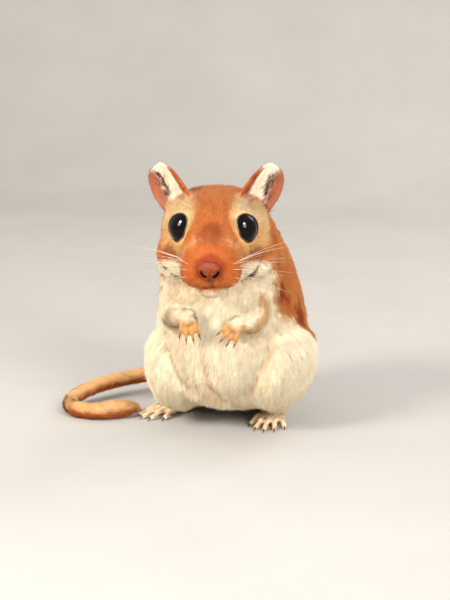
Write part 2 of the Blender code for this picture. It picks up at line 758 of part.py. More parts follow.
def hand_over(obj, collection, material_name):
    """Puts a finished node in its collection, with its material, its shading and an origin at its middle."""
    material = bpy.data.materials.get(material_name) or bpy.data.materials.new(material_name)
    material.use_nodes = True
    shader = material.node_tree.nodes["Principled BSDF"]
    shader.inputs["Base Color"].default_value = COLOURS[material_name]
    shader.inputs["Roughness"].default_value = ROUGHNESS.get(material_name, 0.8)
    shader.inputs["Metallic"].default_value = 0.0
    material.diffuse_color = COLOURS[material_name]
    obj.data.materials.clear()
    obj.data.materials.append(material)
    corners = [Vector(corner) for corner in obj.bound_box]
    middle = sum(corners, Vector()) / len(corners)
    obj.data.transform(Matrix.Translation(-middle))
    obj.location = middle - scaled(SEAT, BODY_UNIT)
    obj.data.shade_smooth()
    obj.data.set_sharp_from_angle(angle=SHARP_ANGLE)
    bpy.context.scene.collection.objects.unlink(obj)
    collection.objects.link(obj)


def main():
    """Builds the whole animal, each node in turn."""
    clear_scene()
    place = head_place()
    head_shape = move(head_form(), place)
    flesh = fuse("flesh", [trunk_form(), head_shape], FLESH_VOXEL, SMOOTHING["flesh"])
    finished, arms, lower_limbs = [], [], []
    for side, side_name in ((1, "left"), (-1, "right")):
        foot = build_foot("hind_foot_" + side_name, side_name)
        arm = build_arm("foreleg_" + side_name, side_name)
        leg = build_leg("hind_leg_" + side_name, side_name, foot, arm)
        hand = build_hand("forepaw_" + side_name, side_name, arm)
        ear = build_ear("ear_" + side_name, side, flesh, place)
        eye = ball("eye_" + side_name, place @ (mirrored(EYE_CENTRE, side) * HEAD_UNIT), EYE_RADIUS)
        arms.append(arm)
        lower_limbs += [wrapped(foot), leg]
        finished += [(leg, "pale_coat"), (foot, "paw_skin"), (arm, "pale_coat"), (hand, "paw_skin")]
        finished += [(ear, "ear_skin"), (eye, "eye")]
    head = build_head(flesh, place)
    neck = build_neck(flesh, arms)
    torso = build_torso(flesh, [*arms, *lower_limbs])
    finished += [(head, "coat"), (neck, "coat"), (torso, "pale_coat")]
    finished += [(length, "coat") for length in build_tail(torso)]
    nodes = {obj for obj, _ in finished}
    drop(*[obj for obj in bpy.data.objects if obj not in nodes])
    gerbil = bpy.data.collections.new("gerbil")
    bpy.context.scene.collection.children.link(gerbil)
    for obj, material_name in finished:
        hand_over(obj, gerbil, material_name)


main()
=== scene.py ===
"""The looks of a still, life-size gerbil that sits up on its haunches.

One skin stands for the nodes of flesh and lies inside them by the depth of the coat. Solid tufts of fur
cover it, and the eyes, lids, nose, claws and whiskers are pieces of their own. Fields hold millimetres
unless they say otherwise; meshes are in metres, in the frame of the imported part: +Z up, the chest
towards -Y and the animal's left at +X.
"""

import logging
import math
from dataclasses import dataclass, field
from enum import Enum

import bmesh
import bpy
import numpy as np
from mathutils import Matrix, Vector
from mathutils.bvhtree import BVHTree
from mathutils.kdtree import KDTree


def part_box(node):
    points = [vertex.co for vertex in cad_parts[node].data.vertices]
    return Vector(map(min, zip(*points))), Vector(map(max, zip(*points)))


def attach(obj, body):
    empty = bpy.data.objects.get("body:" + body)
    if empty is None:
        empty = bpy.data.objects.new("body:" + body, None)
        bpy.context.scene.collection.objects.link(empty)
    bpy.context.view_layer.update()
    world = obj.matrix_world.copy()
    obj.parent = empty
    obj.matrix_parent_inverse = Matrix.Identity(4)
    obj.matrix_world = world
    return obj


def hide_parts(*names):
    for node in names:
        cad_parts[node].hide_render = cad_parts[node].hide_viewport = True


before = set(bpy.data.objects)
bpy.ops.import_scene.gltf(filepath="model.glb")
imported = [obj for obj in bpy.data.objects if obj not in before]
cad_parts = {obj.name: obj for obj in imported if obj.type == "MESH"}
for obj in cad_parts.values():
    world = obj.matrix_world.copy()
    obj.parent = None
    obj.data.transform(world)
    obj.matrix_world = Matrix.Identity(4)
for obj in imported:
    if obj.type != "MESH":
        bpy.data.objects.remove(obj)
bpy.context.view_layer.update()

log = logging.getLogger("gerbil")
MM = 0.001
SEAT = np.array((-0.5, 22.0, 0.0))  # the rump in the body's own measures, which is the origin here
BAKE_MAP = "OFBake"
ROOT_BODY = "root"
MARKS = "markings"  # the colour attribute that skin and coat share
# painted shade: this attribute darkens the nostrils
NOSTRIL_SHADE = "hollow"  # the nose pad's attribute, 1 in the nostrils
TUFT_FACES = np.array(((0, 1, 2), (1, 3, 2), (2, 3, 0), (0, 3, 1)))  # a closed spike on three corners
LIE_LINES = {  # lines that the hair of a bent node follows, in the body's own measures
    "foreleg_left": ((9.8, -5.2, 39.2), (9.8, -10.2, 30.4), (9.0, -13.8, 30.2), (7.2, -16.2, 31.6)),
    "foreleg_right": ((-10.6, -4.8, 39.2), (-11.4, -9.4, 31.0), (-8.4, -14.2, 31.0), (-4.8, -17.0, 32.8)),
    "tail_root": ((0.5, 23.0, 8.6), (-2.6, 30.6, 7.0), (-11.0, 34.0, 5.9), (-22.0, 30.8, 5.4)),
    "tail_middle": ((-22.0, 30.8, 5.4), (-32.0, 24.2, 4.9), (-40.0, 16.0, 3.9)),
    "tail_curl": ((-40.0, 16.0, 3.9), (-43.8, 7.0, 2.6), (-40.6, 0.4, 2.15), (-34.0, -1.0, 2.25)),
    "tail_tip": ((-40.6, 0.4, 2.15), (-34.0, -1.0, 2.25), (-28.4, 2.2, 2.45), (-26.6, 4.2, 2.3)),
}
SLOTS = {"coat_paws": "paw", "coat_ears": "ear"}  # the other pieces of the coat take the slot coat
Array = np.ndarray
Draw = np.random.Generator
Socket = bpy.types.NodeSocket
Material = bpy.types.Material
Object = bpy.types.Object
Point = tuple[float, float, float]
Line = tuple[Point, ...]
Mesh = tuple[Array, Array]  # points and faces
Spot = tuple[Point, Point]  # an oval spot's centre and radii


class Side(Enum):
    """The animal's own left and right."""

    LEFT = 1
    RIGHT = -1

    @property
    def word(self) -> str:
        """The side as the end of a node's name."""
        return self.name.lower()

    def turned(self, point: Point) -> Point:
        """A point of the left side, on this side."""
        return (point[0] * self.value, point[1], point[2])


class Part(Enum):
    """The parts of the body whose coats differ."""

    HEAD = "head"
    NECK = "neck"
    TORSO = "torso"
    FORELEG = "foreleg"
    HIND_LEG = "hind_leg"
    FOREPAW = "forepaw"
    HIND_FOOT = "hind_foot"
    EAR = "ear"
    TAIL = "tail"

    @classmethod
    def of_node(cls, name: str) -> "Part":
        """The part that a node's name starts with."""
        return next(part for part in cls if name.startswith(part.value))


def linear(code: str) -> Array:
    """Turns a colour code into linear light.

    Args:
        code: Six hexadecimal digits, as a paint chart gives them.

    Returns:
        Red, green and blue from 0 to 1.
    """
    shown = np.array([int(code[k : k + 2], 16) / 255 for k in (0, 2, 4)])
    return np.where(shown <= 0.04045, shown / 12.92, ((shown + 0.055) / 1.055) ** 2.4)


def unit(vectors: Array) -> Array:
    """Each row made one long."""
    return vectors / np.maximum(np.linalg.norm(vectors, axis=-1, keepdims=True), 1e-12)


def ramp(values: Array, low: float, high: float) -> Array:
    """A smooth step from 0 at low to 1 at high, which may be the lower number."""
    t = np.clip((values - low) / (high - low), 0.0, 1.0)
    return t * t * (3 - 2 * t)


def ripple(points: Array, size: float, seed: int) -> Array:
    """Smooth noise from a few crossing waves.

    Args:
        points: Places in metres.
        size: The waves' length in millimetres.
        seed: Picks the waves.

    Returns:
        One value for each place, from about -1 to 1.
    """
    rng = np.random.default_rng(seed)
    ways = unit(rng.normal(size=(7, 3))) * rng.uniform(0.7, 1.5, (7, 1))
    phases = rng.uniform(0, 2 * math.pi, 7)
    waves = np.sin(points / MM @ ways.T * (2 * math.pi / size) + phases)
    return waves.sum(axis=1) / 3.2


def distance_to_line(points: Array, line: Array) -> tuple[Array, Array]:
    """How far places are from a line of short straight stretches.

    Args:
        points: Places.
        line: The line's points, in the same unit.

    Returns:
        The distance of each place, and the line's way at the spot nearest to it.
    """
    best = np.full(len(points), np.inf)
    ways = np.zeros_like(points)
    for start, end in zip(line, line[1:]):
        step = end - start
        along = np.clip((points - start) @ step / (step @ step), 0, 1)
        gap = np.linalg.norm(points - start - along[:, None] * step, axis=1)
        nearer = gap < best
        best[nearer] = gap[nearer]
        ways[nearer] = step / np.linalg.norm(step)
    return best, ways


def gap_to(line: Array, points: Array) -> Array:
    """How far places are from a line of short straight stretches."""
    return distance_to_line(points, line)[0]


def reach_of(spot: Spot, places: Array) -> Array:
    """How far places are from the middle of an oval spot, 1 at its edge."""
    centre, radii = spot
    return np.linalg.norm((places - centre) / radii, axis=1)


def bell(values: Array, middle: float, width: Array | float) -> Array:
    """A smooth bump: 1 at its middle, and little beyond its width."""
    return np.exp(-(((values - middle) / width) ** 2))


def keep_above(points: Array, height: float) -> None:
    """Lifts places in metres that lie under a height in millimetres to it."""
    points[..., 2] = np.maximum(points[..., 2], height * MM)


def smooth_line(points: Array, steps: int) -> Array:
    """A smooth line through the points of a rough one.

    Args:
        points: Rows of any width, such as a place and a radius.
        steps: Steps between two points.

    Returns:
        The rows of the smooth line.
    """
    rows = np.vstack([2 * points[:1] - points[1:2], points, 2 * points[-1:] - points[-2:-1]])
    fine = []
    for a, b, c, d in zip(rows, rows[1:], rows[2:], rows[3:]):
        for t in np.arange(steps) / steps:
            bend = (2 * a - 5 * b + 4 * c - d) * t**2 + (3 * b - a - 3 * c + d) * t**3
            fine.append((2 * b + (c - a) * t + bend) / 2)
    return np.array([*fine, points[-1]])


def body_place(points: Array | Point) -> Array:
    """Places in the body's own millimetres, as metres in the frame."""
    return (np.asarray(points, float) - SEAT) * MM


def body_local(points: Array) -> Array:
    """Places in metres, in the body's own millimetres."""
    return points / MM + SEAT


def moved(points: Array, matrix: Matrix) -> Array:
    """Places turned and moved by a matrix of four rows."""
    rows = np.array(matrix)
    return points @ rows[:3, :3].T + rows[:3, 3]


def linked(name: str, data: bpy.types.ID) -> Object:
    """A new object in the scene."""
    obj = bpy.data.objects.new(name, data)
    bpy.context.scene.collection.objects.link(obj)
    return obj


@dataclass(frozen=True)
class HeadFrame:
    """The head's own frame, in which the nose points to -Y and the skull's middle is the origin."""

    centre: Point = (0.3, -12.0, 51.5)
    turn_degrees: float = 11.5
    drop_degrees: float = 6.0

    def rotation(self) -> Array:
        """The turn of the head, as a matrix of three rows."""
        turn = Matrix.Rotation(math.radians(self.turn_degrees), 3, "Z")
        drop = Matrix.Rotation(math.radians(self.drop_degrees), 3, "X")
        return np.array(turn @ drop)

    def place(self, points: Array | Point) -> Array:
        """Places in the head's millimetres, as metres in the frame."""
        return (np.asarray(points, float) @ self.rotation().T + self.centre - SEAT) * MM

    def local(self, points: Array) -> Array:
        """Places in metres, in the head's own millimetres."""
        return (points / MM + SEAT - self.centre) @ self.rotation()

    def way(self, ways: Array | Point) -> Array:
        """Ways in the head's frame, in the frame of the part."""
        return np.asarray(ways, float) @ self.rotation().T


@dataclass
class Surface:
    """A closed surface as arrays: places in metres, triangles and edges."""

    points: Array
    triangles: Array
    edges: Array = field(init=False)
    degree: Array = field(init=False)

    def __post_init__(self) -> None:
        """Finds the edges, each once."""
        t = self.triangles
        ends = np.sort(np.vstack([t[:, [0, 1]], t[:, [1, 2]], t[:, [2, 0]]]), axis=1)
        keys = np.unique(ends[:, 0].astype(np.int64) * len(self.points) + ends[:, 1])
        self.edges = np.column_stack([keys // len(self.points), keys % len(self.points)])
        self.degree = np.bincount(self.edges.ravel(), minlength=len(self.points))

    def face_normals(self) -> Array:
        """Each triangle's normal, as long as twice its area."""
        a, b, c = (self.points[self.triangles[:, k]] for k in range(3))
        return np.cross(b - a, c - a)

    def normals(self) -> Array:
        """The normal at each point."""
        flat = self.face_normals()
        total = np.zeros_like(self.points)
        for k in range(3):
            for axis in range(3):
                total[:, axis] += np.bincount(self.triangles[:, k], flat[:, axis], len(self.points))
        return unit(total)

    def smoothed(self, values: Array, passes: int, weight: Array | float = 1.0) -> Array:
        """Spreads values over the surface.

        Args:
            values: A number or a row for each point.
            passes: How many times each point moves towards its neighbours' mean.
            weight: How far it moves, from 0 to 1, for all points or each.

        Returns:
            The smoothed values.
        """
        rows = values.reshape(len(values), -1).astype(float)
        share = 0.6 * np.broadcast_to(weight, len(values))[:, None] / self.degree[:, None]
        first, second = self.edges.T
        for _ in range(passes):
            change = np.empty_like(rows)
            for axis in range(rows.shape[1]):
                column = rows[:, axis]
                total = np.bincount(first, column[second], len(column))
                total += np.bincount(second, column[first], len(column))
                change[:, axis] = total - self.degree * column
            rows += change * share
        return rows.reshape(values.shape)


def arrays_of(mesh: bpy.types.Mesh) -> Mesh:
    """The points and triangles of a mesh."""
    mesh.calc_loop_triangles()
    points = np.empty(len(mesh.vertices) * 3, np.float32)
    mesh.vertices.foreach_get("co", points)
    triangles = np.empty(len(mesh.loop_triangles) * 3, np.int32)
    mesh.loop_triangles.foreach_get("vertices", triangles)
    return points.reshape(-1, 3).astype(float), triangles.reshape(-1, 3)


def mesh_of(name: str, points: Array, faces: Array) -> Object:
    """Makes a smooth-shaded object from arrays.

    Args:
        name: The object's name.
        points: Places in metres.
        faces: Rows of point numbers, all of one length.

    Returns:
        The object, in the scene.
    """
    mesh = bpy.data.meshes.new(name)
    mesh.vertices.add(len(points))
    mesh.vertices.foreach_set("co", np.ascontiguousarray(points, np.float32).ravel())
    mesh.loops.add(faces.size)
    mesh.loops.foreach_set("vertex_index", np.ascontiguousarray(faces, np.int32).ravel())
    mesh.polygons.add(len(faces))
    mesh.polygons.foreach_set("loop_start", np.arange(len(faces), dtype=np.int32) * faces.shape[1])
    mesh.update(calc_edges=True)
    mesh.shade_smooth()
    return linked(name, mesh)


def settle(obj: Object) -> Object:
    """Turns the object's modifiers into its own mesh."""
    bpy.context.view_layer.update()
    graph = bpy.context.evaluated_depsgraph_get()
    mesh = bpy.data.meshes.new_from_object(obj.evaluated_get(graph))
    obj.modifiers.clear()
    obj.data = mesh
    return obj


def paint(obj: Object, name: str, values: Array) -> None:
    """Stores a colour for each point of an object.

    Args:
        obj: The object.
        name: The attribute's name.
        values: Rows of three, in linear light.
    """
    layer = obj.data.color_attributes.new(name, "FLOAT_COLOR", "POINT")
    rows = np.column_stack([values, np.ones(len(values))]).astype(np.float32)
    layer.data.foreach_set("color", rows.ravel())


def unwrapped(obj: Object) -> Array:
    """Unwraps an object into the bake map.

    Args:
        obj: A mesh object.

    Returns:
        The map's places, a row for each corner of each face.
    """
    obj.data.uv_layers.new(name=BAKE_MAP)
    bpy.context.view_layer.objects.active = obj
    bpy.ops.object.mode_set(mode="EDIT")
    bpy.ops.mesh.select_all(action="SELECT")
    bpy.ops.uv.smart_project(angle_limit=math.radians(70), island_margin=0.004)
    bpy.ops.object.mode_set(mode="OBJECT")
    places = np.empty(len(obj.data.loops) * 2, np.float32)
    obj.data.uv_layers[BAKE_MAP].uv.foreach_get("vector", places)
    return places.reshape(-1, 2)


def swept(points: Array, radii: Array, sides: int, flat: float = 1.0) -> Mesh:
    """A closed round rod along a line, with domed ends.

    Args:
        points: The line, in any unit.
        radii: The radius at each point.
        sides: Sides of the rod.
        flat: The rod's height as a share of its width.

    Returns:
        Points and triangles.
    """
    ways = unit(np.gradient(points, axis=0))
    rows = list(zip(points, ways, radii))
    caps = np.radians((90, 60, 30))
    lead, tail = [], []
    for a in caps:
        lead.append((points[0] - ways[0] * radii[0] * math.sin(a), ways[0], radii[0] * math.cos(a)))
        tail.append((points[-1] + ways[-1] * radii[-1] * math.sin(a), ways[-1], radii[-1] * math.cos(a)))
    rows = [*lead, *rows, *reversed(tail)]
    across = unit(np.cross(ways[0], (0.03, 0.11, 1.0)))
    rings = []
    for spot, way, radius in rows:
        across = unit(across - way * (across @ way))
        over = np.cross(across, way)
        turn = np.arange(sides) * 2 * math.pi / sides
        spokes = np.outer(np.cos(turn), across) + flat * np.outer(np.sin(turn), over)
        rings.append(spot + radius * spokes)
    ring = np.arange(sides)
    after = np.roll(ring, -1)
    faces = []
    for k in range(len(rings) - 1):
        low, high = k * sides, (k + 1) * sides
        faces.append(np.column_stack([low + ring, high + after, low + after]))
        faces.append(np.column_stack([low + ring, high + ring, high + after]))
    return np.vstack(rings), np.vstack(faces)


def joined(pieces: list[Mesh]) -> Mesh:
    """Several meshes as one."""
    starts = np.cumsum([0, *(len(points) for points, _ in pieces)])
    faces = [triangles + start for (_, triangles), start in zip(pieces, starts)]
    return np.vstack([points for points, _ in pieces]), np.vstack(faces)


def blob(centre: Point, radii: Point, detail: int = 3) -> Mesh:
    """An even-faced ball stretched to three radii.

    Args:
        centre: Its middle.
        radii: Its radii along the three axes.
        detail: How many times its faces are halved.

    Returns:
        Points and triangles.
    """
    bm = bmesh.new()
    bmesh.ops.create_icosphere(bm, subdivisions=detail, radius=1.0)
    points = np.array([v.co for v in bm.verts])
    faces = np.array([[v.index for v in f.verts] for f in bm.faces])
    bm.free()
    return points * radii + centre, faces


def welded(points: Array, triangles: Array) -> Mesh:
    """Makes points that share a place one, so that normals run round the edges.

    Args:
        points: Places in metres.
        triangles: Rows of three point numbers.

    Returns:
        The points that differ, and the triangles that keep three corners.
    """
    _, first, index = np.unique(np.round(points / MM, 3), axis=0, return_index=True, return_inverse=True)
    faces = index.reshape(-1)[triangles]
    whole = (faces[:, 0] != faces[:, 1]) & (faces[:, 1] != faces[:, 2]) & (faces[:, 0] != faces[:, 2])
    return points[first], faces[whole]


def largest(points: Array, triangles: Array) -> Surface:
    """The largest connected piece of a mesh.

    Args:
        points: All the points.
        triangles: All the triangles.

    Returns:
        That piece alone.
    """
    group = np.arange(len(points))
    while True:
        low = group[triangles].min(axis=1)
        merged = group.copy()
        for k in range(3):
            np.minimum.at(merged, triangles[:, k], low)
            np.minimum.at(merged, group[triangles[:, k]], low)
        merged = merged[merged]
        if (merged == group).all():
            break
        group = merged
    kept = group == np.bincount(group).argmax()
    number = np.cumsum(kept) - 1
    return Surface(points[kept], number[triangles[kept[triangles[:, 0]]]])


def outward(obj: Object) -> Object:
    """Turns every face of a closed piece outwards."""
    bm = bmesh.new()
    bm.from_mesh(obj.data)
    bmesh.ops.recalc_face_normals(bm, faces=bm.faces)
    bm.to_mesh(obj.data)
    bm.free()
    return obj


def blended(first: Array | str, second: Array | str, share: Array) -> Array:
    """Mixes colours, each given as linear light or as a colour code.

    Args:
        first: One colour, or a row for each place.
        second: The same.
        share: How much of the second each place has.

    Returns:
        A row for each place.
    """
    first, second = (linear(c) if isinstance(c, str) else c for c in (first, second))
    share = np.clip(share, 0, 1)[:, None]
    return first * (1 - share) + second * share


def layered(colours: Array, *layers: tuple[Array | str, Array]) -> Array:
    """Colours with others laid over them in turn, each by its share of each place."""
    for second, share in layers:
        colours = blended(colours, second, share)
    return colours


class Nodes:
    """Builds a material from its shader nodes."""

    def __init__(self, name: str) -> None:
        """Starts a material of this name."""
        self.material = bpy.data.materials.new(name)
        self.material.use_nodes = True
        self.tree = self.material.node_tree
        self.shader = self.tree.nodes["Principled BSDF"]

    def add(self, kind: str, **settings: object) -> bpy.types.Node:
        """Adds a node.

        Args:
            kind: The node's type, without its first word.
            settings: Values for its properties, or for its inputs by name.

        Returns:
            The node.
        """
        node = self.tree.nodes.new("ShaderNode" + kind)
        for key, value in settings.items():
            if hasattr(node, key):
                setattr(node, key, value)
            else:
                node.inputs[key.replace("_", " ")].default_value = value
        return node

    def link(self, out: Socket, into: Socket) -> None:
        """Joins an output to an input."""
        self.tree.links.new(out, into)

    def noise(self, scale: float, detail: float = 3.0, stretch: Point | None = None) -> Socket:
        """Noise over the piece's own coordinates.

        Args:
            scale: Grains to the millimetre.
            detail: Octaves of finer grain.
            stretch: Scales of the three axes, to draw the grain out.

        Returns:
            The noise's value, about 0.5.
        """
        place = self.add("TexCoord").outputs["Object"]
        if stretch:
            mapping = self.add("Mapping")
            mapping.inputs["Scale"].default_value = stretch
            self.link(place, mapping.inputs["Vector"])
            place = mapping.outputs["Vector"]
        node = self.add("TexNoise", Scale=scale / MM, Detail=detail)
        self.link(place, node.inputs["Vector"])
        return node.outputs["Fac"]

    def levels(self, value: Socket, low: float, high: float) -> Socket:
        """Spreads a noise over another range.

        Args:
            value: The noise, about 0.5.
            low: The new value at its low end.
            high: The new value at its high end.

        Returns:
            The new value.
        """
        node = self.add("MapRange")
        node.inputs["From Min"].default_value = 0.25
        node.inputs["From Max"].default_value = 0.75
        node.inputs["To Min"].default_value = low
        node.inputs["To Max"].default_value = high
        self.link(value, node.inputs["Value"])
        return node.outputs["Result"]

    def shaded(self, colour: Socket, value: Socket) -> Socket:
        """A colour made brighter or darker by a value about 1."""
        node = self.add("VectorMath", operation="SCALE")
        self.link(colour, node.inputs[0])
        self.link(value, node.inputs["Scale"])
        return node.outputs[0]

    def blend(self, share: Socket, first: object, second: object) -> Socket:
        """Mixes two colours.

        Args:
            share: How much of the second there is.
            first: A socket or a colour code.
            second: The same.

        Returns:
            The mixed colour.
        """
        node = self.add("Mix", data_type="RGBA")
        self.link(share, node.inputs["Factor"])
        for socket, colour in ((node.inputs[6], first), (node.inputs[7], second)):
            if isinstance(colour, str):
                socket.default_value = (*linear(colour), 1.0)
            else:
                self.link(colour, socket)
        return node.outputs[2]

    def mingled(self, scale: float, first: str, second: str) -> Socket:
        """Two colours mingled by a noise with this many grains to the millimetre."""
        return self.blend(self.levels(self.noise(scale), 0.0, 1.0), first, second)

    def pores(self, scale: float) -> Socket:
        """Cells over the piece's own coordinates, by their number to the millimetre."""
        cells = self.add("TexVoronoi", Scale=scale / MM)
        self.link(self.add("TexCoord").outputs["Object"], cells.inputs["Vector"])
        return cells.outputs["Distance"]

    def roughness(self, value: Socket, low: float, high: float) -> None:
        """Sets a roughness that varies with a noise."""
        self.link(self.levels(value, low, high), self.shader.inputs["Roughness"])

    def bump(self, height: Socket, depth: float) -> None:
        """Raises the surface by a height, to this depth in millimetres."""
        node = self.add("Bump", Distance=depth * MM)
        node.inputs["Strength"].default_value = 1.0
        self.link(height, node.inputs["Height"])
        self.link(node.outputs["Normal"], self.shader.inputs["Normal"])

    def colour(self, socket: Socket) -> None:
        """Sets what the base colour reads."""
        self.link(socket, self.shader.inputs["Base Color"])

    def constants(self, **values: float) -> None:
        """Sets plain numbers on the shader's own sockets."""
        for key, value in values.items():
            self.shader.inputs[key.replace("_", " ")].default_value = value


@dataclass(frozen=True)
class CoatFinish:
    """Soft dry fur: markings in the tufts, darker at the roots and paler at the tips; the darker roots
    are partly the hair's own base and partly painted shade deep in the coat.
    """

    sheen: float = 0.03
    shine: float = 0.05

    def material(self) -> Material:
        """The coat's material."""
        nodes = Nodes("coat")
        marks = nodes.add("VertexColor", layer_name=MARKS).outputs["Color"]
        cloud = nodes.levels(nodes.noise(0.35), 0.93, 1.06)
        nodes.colour(nodes.shaded(marks, cloud))
        nodes.roughness(nodes.noise(1.2), 0.62, 0.82)
        nodes.constants(Specular_IOR_Level=self.shine, Sheen_Weight=self.sheen, Sheen_Roughness=0.5)
        return nodes.material


@dataclass(frozen=True)
class SkinFinish:
    """The skin under the coat, with the same markings and a nap of the finest hairs."""

    shine: float = 0.08

    def material(self) -> Material:
        """The skin's material."""
        nodes = Nodes("skin")
        marks = nodes.add("VertexColor", layer_name=MARKS).outputs["Color"]
        nap = nodes.noise(3.2, 4.0)
        nodes.colour(nodes.shaded(marks, nodes.levels(nap, 0.86, 1.06)))
        nodes.roughness(nodes.noise(0.8), 0.55, 0.8)
        nodes.bump(nap, 0.12)
        nodes.constants(Specular_IOR_Level=self.shine, Subsurface_Weight=0.12, Subsurface_Scale=0.8 * MM)
        return nodes.material


@dataclass(frozen=True)
class EyeFinish:
    """A wet black eye, with the least brown in its iris."""

    iris: str = "0E0705"
    pupil: str = "010101"

    def material(self) -> Material:
        """The eye's material."""
        nodes = Nodes("eye")
        nodes.colour(nodes.mingled(0.9, self.pupil, self.iris))
        nodes.constants(Roughness=0.03, IOR=1.376, Specular_IOR_Level=0.22)
        return nodes.material


@dataclass(frozen=True)
class HornFinish:
    """Horn, such as claws: dark, smooth and a little streaked."""

    name: str
    dark: str
    pale: str
    roughness: float = 0.3

    def material(self) -> Material:
        """The horn's material."""
        nodes = Nodes(self.name)
        streaks = nodes.levels(nodes.noise(1.1, 3.0, (1.0, 0.35, 1.0)), 0.0, 1.0)
        nodes.colour(nodes.blend(streaks, self.dark, self.pale))
        nodes.roughness(streaks, self.roughness, self.roughness + 0.15)
        return nodes.material


@dataclass(frozen=True)
class LidFinish:
    """The dark, moist skin of the lids, with fine pores."""

    deep: str = "1E120D"
    light: str = "3A2218"
    pores: float = 0.03

    def material(self) -> Material:
        """The lids' material."""
        nodes = Nodes("lid")
        pores = nodes.pores(4.5)
        nodes.colour(nodes.mingled(1.0, self.deep, self.light))
        nodes.roughness(nodes.noise(2.0), 0.3, 0.5)
        nodes.bump(pores, self.pores)
        nodes.constants(Coat_Weight=0.2, Subsurface_Weight=0.15, Subsurface_Scale=0.6 * MM)
        return nodes.material


@dataclass(frozen=True)
class NoseFinish:
    """Moist, rosy brown skin, with painted shade darkening the nostrils."""

    light: str = "8F3D1A"
    deep: str = "6A2A12"
    # painted shade: the near-black laid in the nostrils
    hollow: str = "080302"
    pores: float = 0.035

    def material(self) -> Material:
        """The nose pad's material."""
        nodes = Nodes("nose")
        pores = nodes.pores(5.0)
        tone = nodes.mingled(0.8, self.light, self.deep)
        hollow = nodes.add("VertexColor", layer_name=NOSTRIL_SHADE).outputs["Color"]
        nodes.colour(nodes.blend(hollow, tone, self.hollow))
        nodes.roughness(nodes.noise(1.6), 0.42, 0.6)
        nodes.bump(pores, self.pores)
        nodes.constants(Specular_IOR_Level=0.13)
        return nodes.material


@dataclass(frozen=True)
class FloorFinish:
    """A matt pale floor with the faintest mottle."""

    pale: str = "BFBCB6"
    shade: str = "B8B5AF"

    def material(self) -> Material:
        """The floor's material."""
        nodes = Nodes("floor")
        nodes.colour(nodes.mingled(0.02, self.pale, self.shade))
        nodes.constants(Roughness=0.8, Specular_IOR_Level=0.05)
        return nodes.material


